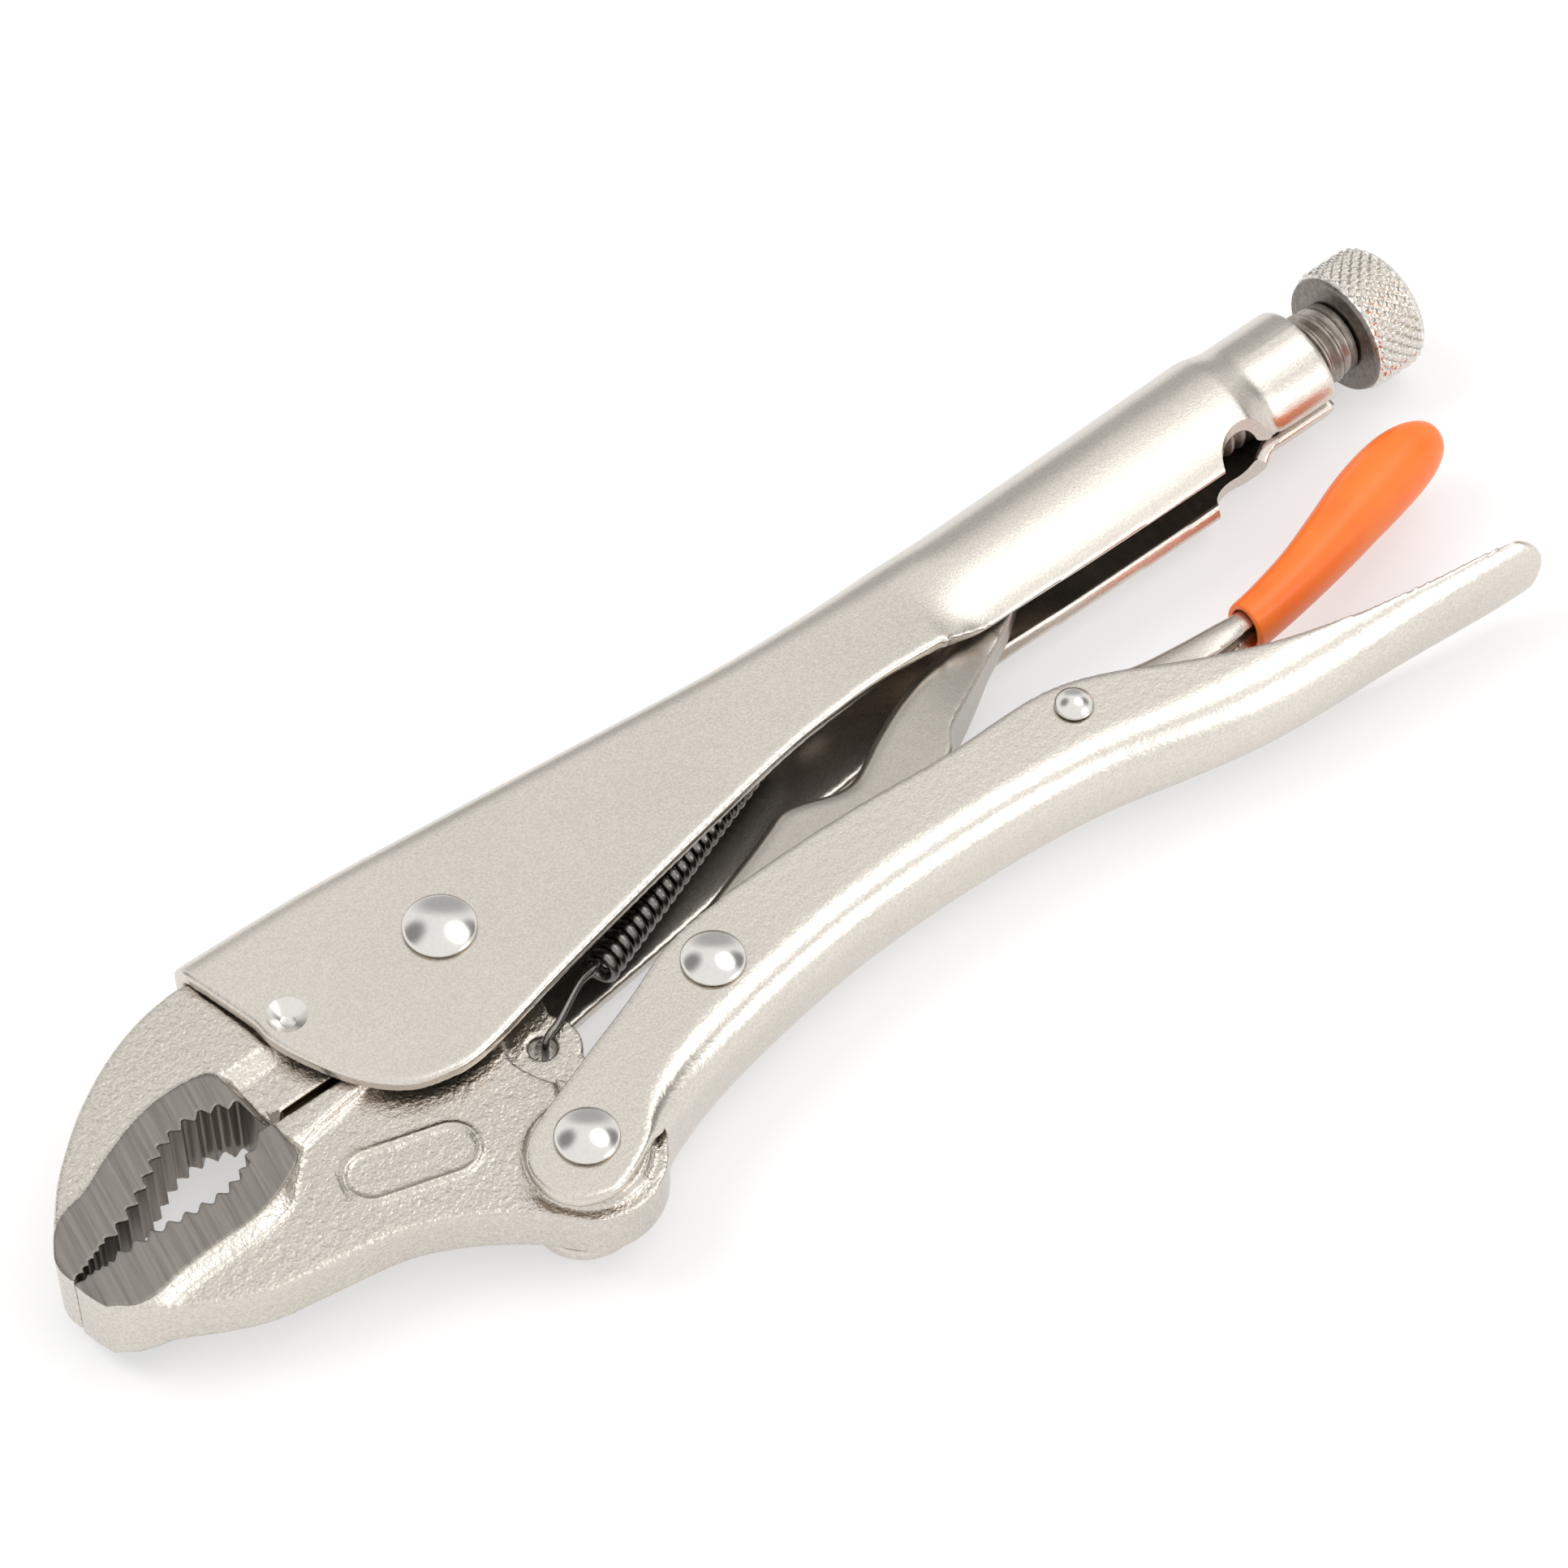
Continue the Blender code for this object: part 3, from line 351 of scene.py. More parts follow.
class Nodes:
    """A material's nodes, with short calls for the ones that the finishes share."""

    def __init__(self, name):
        self.material = bpy.data.materials.new(name)
        self.material.use_nodes = True
        self.tree = self.material.node_tree
        self.shader = self.tree.nodes["Principled BSDF"]
        self.coordinate = self.tree.nodes.new("ShaderNodeTexCoord").outputs["Object"]

    def link(self, source, target):
        self.tree.links.new(source, target)

    def stretched(self, scale, tilt=0.0):
        """Object coordinates turned about Z and scaled, so that a texture runs in streaks."""
        mapping = self.tree.nodes.new("ShaderNodeMapping")
        mapping.vector_type = "TEXTURE"
        mapping.inputs["Rotation"].default_value = (0.0, 0.0, math.radians(tilt))
        mapping.inputs["Scale"].default_value = tuple(1 / s for s in scale)
        self.link(self.coordinate, mapping.inputs["Vector"])
        return mapping.outputs["Vector"]

    def noise(self, scale, detail=2.0, vector=None, roughness=0.5):
        texture = self.tree.nodes.new("ShaderNodeTexNoise")
        texture.inputs["Scale"].default_value = scale
        texture.inputs["Detail"].default_value = detail
        texture.inputs["Roughness"].default_value = roughness
        self.link(vector or self.coordinate, texture.inputs["Vector"])
        return texture.outputs["Fac"]

    def remap(self, value, low, high, start=0.3, end=0.7):
        ramp = self.tree.nodes.new("ShaderNodeMapRange")
        ramp.inputs["From Min"].default_value = start
        ramp.inputs["From Max"].default_value = end
        ramp.inputs["To Min"].default_value = low
        ramp.inputs["To Max"].default_value = high
        self.link(value, ramp.inputs["Value"])
        return ramp.outputs["Result"]

    def blend(self, value, dark, light):
        mix = self.tree.nodes.new("ShaderNodeMix")
        mix.data_type = "RGBA"
        mix.inputs[6].default_value = (*dark, 1.0)
        mix.inputs[7].default_value = (*light, 1.0)
        self.link(value, mix.inputs[0])
        return mix.outputs[2]

    def bump(self, height, depth, before=None, strength=1.0):
        """depth is the height of the relief in millimetres."""
        bump = self.tree.nodes.new("ShaderNodeBump")
        bump.inputs["Strength"].default_value = strength
        bump.inputs["Distance"].default_value = depth * MM
        self.link(height, bump.inputs["Height"])
        if before is not None:
            self.link(before, bump.inputs["Normal"])
        return bump.outputs["Normal"]

    def add(self, first, second):
        return maths(self.tree, first, second)

    def finish(self, colour, roughness, normal=None, metallic=1.0):
        self.link(colour, self.shader.inputs["Base Color"])
        self.link(roughness, self.shader.inputs["Roughness"])
        if normal is not None:
            self.link(normal, self.shader.inputs["Normal"])
        self.shader.inputs["Metallic"].default_value = metallic
        return self.material


def nickel(name, colour=(0.70, 0.655, 0.60), rough=(0.25, 0.33), grain=0.30, relief=0.016,
           lump=2.2, lump_relief=0.02, contrast=0.10):
    """Nickel plate: fine sparkling grain over a slight waviness. Sizes in millimetres."""
    n = Nodes(name)
    fine = n.noise(1000 / grain, 1.0, roughness=0.6)
    wide = n.noise(1000 / lump, 2.0)
    cloud = n.noise(1000 / 38, 2.0)
    dark = tuple(c * (1 - contrast) for c in colour)
    light = tuple(min(1.0, c * (1 + contrast)) for c in colour)
    tone = n.add(n.remap(fine, 0.0, 0.7), n.remap(cloud, 0.0, 0.3))
    normal = n.bump(wide, lump_relief)
    normal = n.bump(fine, relief, normal)
    return n.finish(n.blend(tone, dark, light), n.remap(cloud, *rough), normal)


def machined(name, along=(1.0, 0.03, 0.03), dark=(0.21, 0.193, 0.174), light=(0.36, 0.333, 0.305),
             pitch=0.8, relief=0.02, tilt=0.0):
    """Bare ground steel with cutter marks, fine across along's first axis."""
    n = Nodes(name)
    streak = n.stretched(along, tilt)
    coarse = n.noise(1000 / pitch, 1.0, streak)
    fine = n.noise(1000 / (pitch * 0.35), 2.0, streak)
    tone = n.add(n.remap(coarse, 0.0, 0.6), n.remap(fine, 0.0, 0.4))
    normal = n.bump(coarse, relief)
    normal = n.bump(fine, relief * 0.3, normal)
    return n.finish(n.blend(tone, dark, light), n.remap(fine, 0.30, 0.42), normal)


def vinyl(name):
    n = Nodes(name)
    cloud = n.noise(1000 / 9, 2.0)
    skin = n.noise(1000 / 0.8, 2.0)
    n.shader.inputs["Specular IOR Level"].default_value = 0.5
    n.shader.inputs["Coat Weight"].default_value = 0.15
    n.shader.inputs["Coat Roughness"].default_value = 0.18
    n.shader.inputs["Subsurface Weight"].default_value = 0.08
    n.shader.inputs["Subsurface Radius"].default_value = (0.004, 0.001, 0.0005)
    return n.finish(n.blend(n.remap(cloud, 0.0, 1.0), (0.98, 0.165, 0.014), (1.0, 0.21, 0.022)),
                    n.remap(cloud, 0.30, 0.38), n.bump(skin, 0.006), metallic=0.0)


# ---------------------------------------------------------------- sheet metal sections

def channel_ring(x, crown, half, corner, lip, gap_half, flip_y=1, corner_steps=10, wall_steps=9):
    """One bent section of a handle: from one lip up the wall, over the crown and down."""
    turn = crown - corner * flip_y
    bend = math.acos(min(1.0, gap_half / half))
    side = []
    for k in range(wall_steps + 1):
        t = 1.0 - k / wall_steps
        down = math.sin(bend * t) / math.sin(bend) if bend > 0.01 else t
        side.append((turn + (lip - turn) * down, half * math.cos(bend * t)))
    for k in range(1, corner_steps + 1):
        a = math.radians(90.0 * k / corner_steps)
        side.append((turn + corner * flip_y * math.sin(a), half - corner + corner * math.cos(a)))
    ring = [(x, y, z) for y, z in side]
    if half - corner > 0.05:
        return ring + [(x, y, -z) for y, z in reversed(side)]
    ring[-1] = (x, crown, 0.0)
    return ring + [(x, y, -z) for y, z in reversed(side[:-1])]


def channel(name, groups, thickness, steps=4, **options):
    """A bent sheet through groups of stations; each group is smooth within itself."""
    rings = [channel_ring(*s, **options) for group in groups for s in smooth(group, steps)]
    shell = loft(name, rings)
    solidify(shell, thickness)
    return shell


def make_fixed_handle(surfaces):
    flat, deep = CHANNEL_HALF, -30.0
    r = TUBE_RADIUS - 0.3
    stations = [
        (-80.2, 23.7, flat, 3.0, deep, flat), (-60.0, 23.0, flat, 3.0, deep, flat),
        (-40.0, 21.1, flat, 3.0, deep, flat), (-20.0, 19.0, flat, 3.0, deep, flat),
        (0.0, 17.0, flat, 3.2, deep, flat), (14.0, 16.6, flat, 4.0, deep, flat),
        (25.0, 17.0, flat, 5.2, deep, flat)]
    rolled = [
        (27.5, 17.2, 7.2, 5.6, 0.3, 7.1), (30.5, 17.3, 7.4, 6.2, -0.3, 6.1),
        (33.5, 17.4, 7.7, 7.0, -0.7, 5.1),
        (38.0, SCREW_Y + TUBE_RADIUS, TUBE_RADIUS, r, -0.7, LIP_GAP),
        (50.0, SCREW_Y + TUBE_RADIUS + 0.1, TUBE_RADIUS + 0.1, r, -1.1, LIP_GAP),
        (64.0, SCREW_Y + TUBE_RADIUS + 0.3, TUBE_RADIUS + 0.3, r + 0.2, -1.3, LIP_GAP),
        (80.0, SCREW_Y + TUBE_RADIUS + 0.6, TUBE_RADIUS + 0.6, r + 0.5, -1.4, LIP_GAP),
        (82.6, SCREW_Y + TUBE_RADIUS + 0.55, TUBE_RADIUS + 0.55, r + 0.45, -0.9, 4.0),
        (NECK_X, SCREW_Y + NECK_RADIUS, NECK_RADIUS, NECK_RADIUS - 0.3, 1.1, 1.5),
        (88.5, SCREW_Y + NECK_RADIUS, NECK_RADIUS, NECK_RADIUS - 0.3, 0.9, 1.0),
        (MOUTH_X, SCREW_Y + NECK_RADIUS, NECK_RADIUS, NECK_RADIUS - 0.3, 0.9, 0.9)]
    handle = flip(channel("fixed", (stations, rolled), SHEET))
    front = smooth([(-78.2, 40.0), (-78.2, 23.0), (-77.2, 17.0), (-75.8, 10.2),
                    (-75.7, 7.0), (-74.2, 2.0), (-71.0, -4.5), (-66.2, -9.4), (-60.0, -11.3)])
    near = smooth([(-60.0, -11.3), (-55.0, -10.9), (-40.0, -7.6), (-20.0, -3.7), (0.0, -0.2),
                   (10.0, 0.75), (18.0, 1.0), (27.0, 0.4)])
    far = smooth([(-60.0, -11.3), (-55.0, -11.0), (-40.0, -8.5), (-20.0, -6.2), (0.0, -3.2),
                  (10.0, -2.3), (18.0, -1.2), (27.0, 0.2)])
    rear = [(30.0, -6.0), (107.4, -6.0), (107.4, 40.0)]
    levels = ((-THROUGH, far), (-5.0, far), (5.0, near), (THROUGH, near))
    rings = [[(x, y, z) for x, y in front + edge[1:] + rear] for z, edge in levels]
    trim = loft("trim", rings, closed_ring=True, cap_start=True, cap_end=True)
    combine(handle, closed(trim), "INTERSECT")
    combine(handle, prism("tab", [(8.6, 15.6), (9.3, 7.6), (13.7, 7.6), (14.4, 15.6)], -0.8, 0.8),
            "UNION")
    combine(handle, prism("eye", arc(HOOK_TAB, 1.1, 0, 345, 23), -2, 2), "DIFFERENCE")
    bore(handle, JAW_PIVOT, JAW_BORE)
    remesh(handle, 0.30)
    soften(handle, 7)
    bore(handle, WINDOW, WINDOW_RADIUS)
    for sign in (1, -1):
        punch = turned("punch", [(0.0, 1.0), (2.95, 1.0), (2.6, 0.0), (2.3, -0.35), (1.0, -1.55),
                                 (0.9, -1.6), (0.0, -1.6)], 56)
        if sign < 0:
            punch.data.transform(Matrix.Rotation(math.pi, 4, "X"))
        punch.data.transform(Matrix.Translation((*STAKE, sign * CHANNEL_HALF)))
        combine(handle, punch, "DIFFERENCE")
    settle(handle)
    thin_out(handle, 0.45)
    centres, normals = face_data(handle)
    dimple = ((np.hypot(centres[:, 0] - STAKE[0], centres[:, 1] - STAKE[1]) < 3.1)
              & (np.abs(centres[:, 2]) < CHANNEL_HALF - 0.04)
              & (normals[:, 2] * centres[:, 2] > 0.5))
    handle.data.polygons.foreach_set("material_index", dimple.astype(np.int32))
    return piece(handle, "fixed_handle_shell", FIXED, "fixed_handle", surfaces, 40)


def make_lower_handle(surface):
    flat, high = CHANNEL_HALF, -6.0
    stations = [
        (-66.0, -42.6, flat, 2.4, high, flat), (-57.0, -40.6, flat, 2.4, high, flat),
        (-52.0, -38.0, flat, 2.4, high, flat), (-48.5, -34.9, flat, 2.8, high, flat),
        (-45.5, -33.0, flat, 3.8, high, flat), (-42.0, -31.7, flat, 4.6, high, flat),
        (-37.0, -30.2, flat, 5.0, high, flat), (-30.0, -28.6, flat, 5.0, high, flat),
        (-20.0, -27.0, flat, 5.0, high, flat), (-8.0, -25.8, flat, 5.0, high, flat),
        (5.0, -25.7, flat, 5.0, high, flat), (18.0, -26.4, flat, 5.0, high, flat),
        (30.0, -28.0, flat, 5.3, high, flat), (42.0, -31.2, flat, 6.0, high, flat),
        (52.0, -33.6, flat, 6.6, high, flat), (62.0, -34.7, flat, 6.6, high, flat),
        (74.0, -35.2, flat, 6.0, high, flat), (84.0, -35.7, 7.1, 5.0, high, 7.1),
        (90.0, -36.1, 7.0, 4.4, high, 7.0), (96.0, -36.5, 6.8, 4.2, high, 6.8),
        (102.0, -36.8, 6.6, 4.0, high, 6.6)]
    handle = channel("lower", (stations,), SHEET, flip_y=-1)
    nose = smooth([(-46.6, -33.6), (-48.2, -33.5), (-50.5, -34.6), (-53.5, -36.0), (-57.0, -36.8),
                   (-60.8, -35.4), (-63.0, -32.6), (-63.5, -29.6), (-62.6, -26.6),
                   (-60.0, -24.2), (-56.0, -22.4)])
    upper = smooth([(-56.0, -22.4), (-47.0, -19.3), (-38.0, -16.3), (-31.0, -13.6), (-24.0, -12.3),
                    (-12.0, -11.8), (2.0, -12.3), (15.0, -13.4), (26.0, -13.5), (33.0, -14.3),
                    (40.0, -17.0), (50.0, -22.5), (60.0, -27.0), (70.0, -30.0), (80.0, -32.0),
                    (90.0, -33.5), (95.6, -34.5), (99.5, -34.9)])
    outline = nose + upper[1:] + [(103.0, -50.0), (-44.6, -50.0)]
    combine(handle, prism("trim", outline, -THROUGH, THROUGH), "INTERSECT")
    spoon = prism("spoon", [(-80.0, 12.0), (-80.0, -12.0), (85.0, -12.0)]
                  + arc((91.6, 0.0), 7.1, -90, 90, 28) + [(85.0, 12.0)], 2.0, 60.0)
    spoon.data.transform(Matrix.Rotation(math.pi / 2, 4, "X"))
    combine(handle, spoon, "INTERSECT")
    throat = [(-75.0, -18.0), (-75.0, -55.0), (-46.2, -55.0), (-46.2, -34.0), (-46.5, -18.0)]
    room = CHANNEL_INNER - 0.04
    combine(handle, prism("throat", throat, -room, room), "DIFFERENCE")
    for pivot, radius in ((LEVER_PIVOT, LEVER_BORE), (LINK_PIVOT, LEVER_BORE),
                          (RELEASE_PIVOT, RELEASE_BORE)):
        bore(handle, pivot, radius)
    remesh(handle, 0.28)
    soften(handle, 7)
    thin_out(handle, 0.45)
    return piece(handle, "lower_handle_shell", LOWER_HANDLE, "lower_handle",
                 [surface])


# ---------------------------------------------------------------- jaws

UPPER_GRIP = [(-83.4, 3.4), (-87.0, 5.0), (-91.0, 5.3), (-95.0, 4.1), (-99.5, 1.3),
              (-103.0, -0.6), (-107.0, -2.2)]
UPPER_FINE = [(-107.0, -2.2), (-112.4, -4.2)]
LOWER_FINE = [(TIP_X + 1.5, -5.35), (-108.0, -5.55)]
LOWER_GRIP = [(-108.0, -5.55), (-102.0, -5.8), (-96.0, -6.5), (-92.0, -6.6), (-88.5, -5.5),
              (-85.8, -3.6)]


def block_edge_upper():
    return smooth([(TIP_X - 3.0, -2.6), (-110.0, 3.0), (-105.0, 4.5), (-100.0, 6.8),
                   (-95.0, 8.6), (-90.5, 9.4), (-86.0, 9.2), (-83.6, 8.2), (-82.9, 5.5)])


def block_edge_lower(spread):
    back = spread * 0.5
    return smooth([(TIP_X - 3.0, -8.0 - spread), (-112.0, -10.0 - spread),
                   (-109.5, -11.8 - spread), (-106.5, -12.2 - spread), (-103.0, -11.6 - spread),
                   (-97.0, -11.2 - spread), (-91.0, -11.1 - spread), (-86.5, -9.9 - spread),
                   (-82.6 + back, -7.6 - spread), (-82.2 + back, -4.0)])


def shave_both(target, low_outline, level, high_outline, rim):
    """Lower both faces to level inside low_outline, sloping up to rim at high_outline."""
    top = slab("shave", low_outline, level, high_outline, rim)
    combine(target, top, "DIFFERENCE")
    bottom = slab("shave", high_outline, -rim, low_outline, -level)
    combine(target, bottom, "DIFFERENCE")


def make_upper_jaw(surfaces):
    crown = smooth([(TIP_X, -4.4), (TIP_X - 0.1, -2.0), (-112.5, 0.5), (-107.5, 7.0),
                    (-102.0, 12.0), (-97.0, 15.5), (-91.0, 18.6), (-85.0, 20.5), (-79.3, 21.2)])
    under = [(-77.9, 20.7), (-60.0, 20.2), (-50.0, 19.2)]
    seat = arc(JAW_PIVOT, 8.3, 92, 215)
    slit = [(-59.0, -0.6), (-79.8, -0.6)]
    blade = [(-80.7, -1.75), (-82.2, -1.75), (-83.2, 0.0)]
    grip = toothed(UPPER_GRIP, TOOTH_PITCH, 1.25)
    fine = toothed(UPPER_FINE, FINE_PITCH, FINE_DEPTH)
    outline = crown + under + seat + slit + blade + grip + fine[1:] + [(-113.2, -4.75)]
    jaw = prism("upper", outline, -BLOCK_HALF, BLOCK_HALF)
    rest = [(-82.9, -8.0), (-30.0, -8.0), (-30.0, 40.0), (TIP_X - 3.0, 40.0)]
    shave_both(jaw, block_edge_upper() + rest, UPPER_FACE_HALF, block_edge_upper() + rest, 6.5)
    inner = smooth([(-77.6, 40.0), (-77.3, 21.0), (-76.6, 16.0), (-75.6, 9.0), (-75.5, 6.0)])
    outer = [(x - 1.5, y) for x, y in inner]
    back = [(-75.5, -8.0), (-30.0, -8.0), (-30.0, 40.0)]
    shave_both(jaw, inner + back, CORE_HALF, outer + back, 5.9)
    low = [(-82.0, 5.2), (-82.0, -8.0), (-60.0, -8.0), (-60.0, 5.2)]
    high = [(-83.2, 8.6), (-83.2, -8.0), (-60.0, -8.0), (-60.0, 8.6)]
    shave_both(jaw, low, CUTTER_HALF, high, 5.9)
    remesh(jaw, 0.21)

    def weight(co):
        block = in_outline(co, [(x - 0.4, y + 0.6) for x, y in block_edge_upper()]
                           + [(-79.6, 5.0), (-79.6, -3.0), (-90.0, -8.0), (TIP_X - 3.0, -8.0)])
        return np.where(block, 0.12, 1.0)

    soften(jaw, 9, weight)
    thin_out(jaw, 0.6)
    centres, normals = face_data(jaw)
    flat = (np.abs(centres[:, 2]) > 5.36)
    wall_line = UPPER_FINE[::-1] + UPPER_GRIP[::-1][1:]
    limit = np.interp(centres[:, 0], [p[0] for p in wall_line], [p[1] for p in wall_line])
    wall = ((centres[:, 1] < limit + 0.35) & (centres[:, 0] < -79.6) & (centres[:, 0] > -112.8)
            & (np.abs(normals[:, 2]) < 0.8))
    slot_wall = (centres[:, 0] > -79.7) & (centres[:, 1] < 0.0) & (np.abs(normals[:, 2]) < 0.6)
    cut = in_outline(centres, [(-83.6, 0.6), (-83.0, -3.0), (-79.7, -3.0), (-79.9, -0.1)])
    index = np.where(slot_wall, 3, np.where(wall | cut, 2, np.where(flat, 1, 0)))
    jaw.data.polygons.foreach_set("material_index", index.astype(np.int32))
    return piece(jaw, "upper_jaw_forging", FIXED, "upper_jaw", surfaces)


def lower_jaw_outline():
    fine = toothed(LOWER_FINE, FINE_PITCH, FINE_DEPTH)
    grip = toothed(LOWER_GRIP, TOOTH_PITCH, 1.05)
    blade = [(-84.2, -2.05), (-80.8, -2.05)]
    slit = [(-79.8, -1.9), (-60.0, -1.9)]
    boss = arc(JAW_PIVOT, 8.0, 222, -22, 40)
    ear = [(-44.0, -4.0)] + arc(EAR_CENTRE, 5.0, 40, -50)
    tail = arc(LEVER_PIVOT, 9.8, 20, -125, 40)
    belly = smooth([(-62.0, -35.2), (-65.0, -31.8), (-70.0, -27.8), (-75.0, -24.8), (-80.0, -22.9),
                    (-90.0, -21.0), (-95.0, -20.0), (-100.0, -17.9), (-105.0, -15.0),
                    (-109.0, -12.7), (-111.8, -10.8), (-113.0, -8.0), (TIP_X, -5.2)])
    return [(TIP_X + 0.3, -5.05)] + fine + grip[1:] + blade + slit + boss + ear + tail + belly


def stadium(centre, length, height, tilt, steps=20):
    """A lying oval with straight long sides."""
    radius = height / 2
    reach = length / 2 - radius
    points = arc((reach, 0), radius, -90, 90, steps)
    points += [(reach - 2 * reach * k / steps, radius) for k in range(1, steps)]
    points += arc((-reach, 0), radius, 90, 270, steps)
    points += [(-reach + 2 * reach * k / steps, -radius) for k in range(1, steps)]
    c, s = math.cos(math.radians(tilt)), math.sin(math.radians(tilt))
    return [(centre[0] + x * c - y * s, centre[1] + x * s + y * c) for x, y in points]


def make_lower_jaw(surfaces):
    jaw = prism("lower", lower_jaw_outline(), -BLOCK_HALF, BLOCK_HALF)
    far = [(-82.2, 40.0), (-30.0, 40.0), (-30.0, -60.0), (TIP_X - 3.0, -60.0)]
    shave_both(jaw, block_edge_lower(0.35) + far, CORE_HALF, block_edge_lower(0.0) + far, 6.1)
    web_end = [(-30.0, -26.0), (-30.0, -60.0), (TIP_X - 3.0, -60.0)]
    pad_low = [(-80.6, -6.3), (-71.0, -4.9), (-58.4, -2.8)] + arc(JAW_PIVOT, 9.4, 240, 300, 6)
    pad_high = [(-81.6, -5.6), (-71.0, -4.2), (-58.0, -2.1)] + arc(JAW_PIVOT, 9.0, 240, 300, 6)
    drop = -12
    shave_both(jaw, block_edge_lower(1.9)[:drop] + pad_low + arc(LEVER_PIVOT, 7.9, 75, 380, 36)
               + web_end, WEB_HALF, block_edge_lower(0.5)[:drop] + pad_high
               + arc(LEVER_PIVOT, 7.3, 75, 380, 36) + web_end, 5.0)
    ear_edge = smooth([(-51.6, -3.6), (-52.4, -8.4), (-53.8, -12.2), (-52.9, -16.0),
                       (-50.2, -20.6), (-46.5, -21.5)]) + [(-40.0, -18.0), (-40.0, -3.6)]
    shave_both(jaw, ear_edge, EAR_HALF, ear_edge, 6.0)
    bore(jaw, EAR_CENTRE, 1.75)
    bore(jaw, JAW_PIVOT, JAW_BORE)
    bore(jaw, LEVER_PIVOT, LEVER_BORE)
    remesh(jaw, 0.21)

    def weight(co):
        block = in_outline(co, [(x, y - 0.5) for x, y in block_edge_lower(0.0)]
                           + [(-79.6, -3.0), (-79.6, 1.0), (TIP_X - 3.0, 1.0)])
        inside = in_outline(co, [(-60.0, 15.0), (-60.0, -20.0), (-66.0, -40.0), (-35.0, -40.0),
                                 (-35.0, 15.0)])
        return np.where(block, 0.12, np.where(inside, 0.5, 1.0))

    soften(jaw, 14, weight)
    co = coordinates(jaw)
    border = np.array(stadium(BADGE, 17.0, 7.0, -18.0, 40))
    near = ((np.abs(co[:, 2]) > WEB_HALF - 0.35) & (np.abs(co[:, 0] - BADGE[0]) < 11)
            & (np.abs(co[:, 1] - BADGE[1]) < 8))
    spots = np.where(near)[0]
    away = np.min(np.linalg.norm(co[spots, None, :2] - border[None], axis=2), axis=1)
    co[spots, 2] += np.sign(co[spots, 2]) * 0.38 * np.exp(-(away / 0.42) ** 2)
    jaw.data.vertices.foreach_set("co", co.ravel())
    thin_out(jaw, 0.5)
    centres, normals = face_data(jaw)
    flat = (np.abs(centres[:, 2]) > 5.3)
    wall_line = LOWER_FINE + LOWER_GRIP[1:] + [(-84.2, -2.1), (-80.8, -2.1), (-79.8, -2.0)]
    limit = np.interp(centres[:, 0], [p[0] for p in wall_line], [p[1] for p in wall_line])
    wall = ((centres[:, 1] > limit - 0.35) & (centres[:, 0] < -79.8) & (centres[:, 0] > -113.0)
            & (np.abs(normals[:, 2]) < 0.8))
    slot_wall = ((centres[:, 0] > -79.8) & (centres[:, 0] < -58.0) & (centres[:, 1] > -2.4)
                 & (np.abs(normals[:, 2]) < 0.6))
    index = np.where(slot_wall, 3, np.where(wall, 2, np.where(flat, 1, 0)))
    jaw.data.polygons.foreach_set("material_index", index.astype(np.int32))
    return piece(jaw, "lower_jaw_forging", LOWER_JAW, "lower_jaw", surfaces)


# ---------------------------------------------------------------- link, lever and sleeve

def make_link(surface):
    wide, deep = CORE_HALF, -30.0
    crowns = [(-34.0, -13.6), (-27.0, -11.8), (-20.0, -9.6), (-12.0, -7.1), (-8.0, -5.7),
              (-5.0, -4.7), (-2.0, -5.3), (2.0, -6.8), (5.0, -7.0), (8.0, -5.7), (12.0, -3.6),
              (17.0, -1.4)]
    stations = [(x, crown, wide, 2.6, deep, wide) for x, crown in crowns]
    stations += [(22.0, 0.4, wide - 0.3, 2.6, deep, wide - 0.3),
                 (27.0, 2.0, wide - 1.1, 2.6, deep, wide - 1.1),
                 (32.0, 3.8, 2.6, 2.3, deep, 2.6), (35.0, 5.0, 2.6, 2.3, deep, 2.6)]
    link = flip(channel("link", (stations,), SHEET))
    centre = (47.8, SCREW_Y)
    bar = smooth([(24.5, -7.5), (30.0, -5.0), (38.0, -1.0), (43.0, 2.6)])
    bar += arc(centre, 3.3, -70, 110)
    bar += [(40.0, 9.2), (32.0, 3.2), (24.5, -0.4)]
    combine(link, prism("bar", bar, -2.4, 2.4), "UNION")
    root = [(17.0, -16.0), (26.5, -8.0), (29.0, -5.5), (29.0, 0.0), (24.0, -1.0), (17.0, -6.0)]
    combine(link, prism("root", root, -2.9, 2.9), "UNION")
    outline = [(-34.5, 20.0)] + arc(LINK_PIVOT, 4.8, 170, 290)
    outline += smooth([(-22.0, -22.2), (-12.0, -19.9), (0.0, -17.0), (12.0, -13.9), (17.2, -12.4),
                       (19.5, -9.9), (21.1, -8.7), (26.5, -6.0), (32.0, -3.0), (38.0, 0.0),
                       (43.0, 3.6)])
    outline += arc(centre, 3.3, -70, 110) + [(30.0, 20.0)]
    combine(link, prism("trim", outline, -THROUGH, THROUGH), "INTERSECT")
    bore(link, LINK_PIVOT, LEVER_BORE)
    remesh(link, 0.27)
    soften(link, 4)
    thin_out(link, 0.6)
    return piece(link, "toggle_link_shell", LINK, "toggle_link", [surface])


SLEEVE = [(61.6, -19.3, 3.25, 4.1), (66.0, -18.8, 3.4, 4.2), (73.0, -17.6, 3.75, 4.3),
          (80.0, -15.9, 4.35, 4.5), (86.0, -14.3, 4.85, 4.65), (91.0, -13.2, 5.05, 4.7),
          (95.5, -12.4, 4.85, 4.65), (99.0, -12.0, 4.2, 4.2), (101.5, -11.8, 3.15, 3.3),
          (102.7, -11.75, 2.1, 2.3), (103.0, -11.7, 1.2, 1.3)]


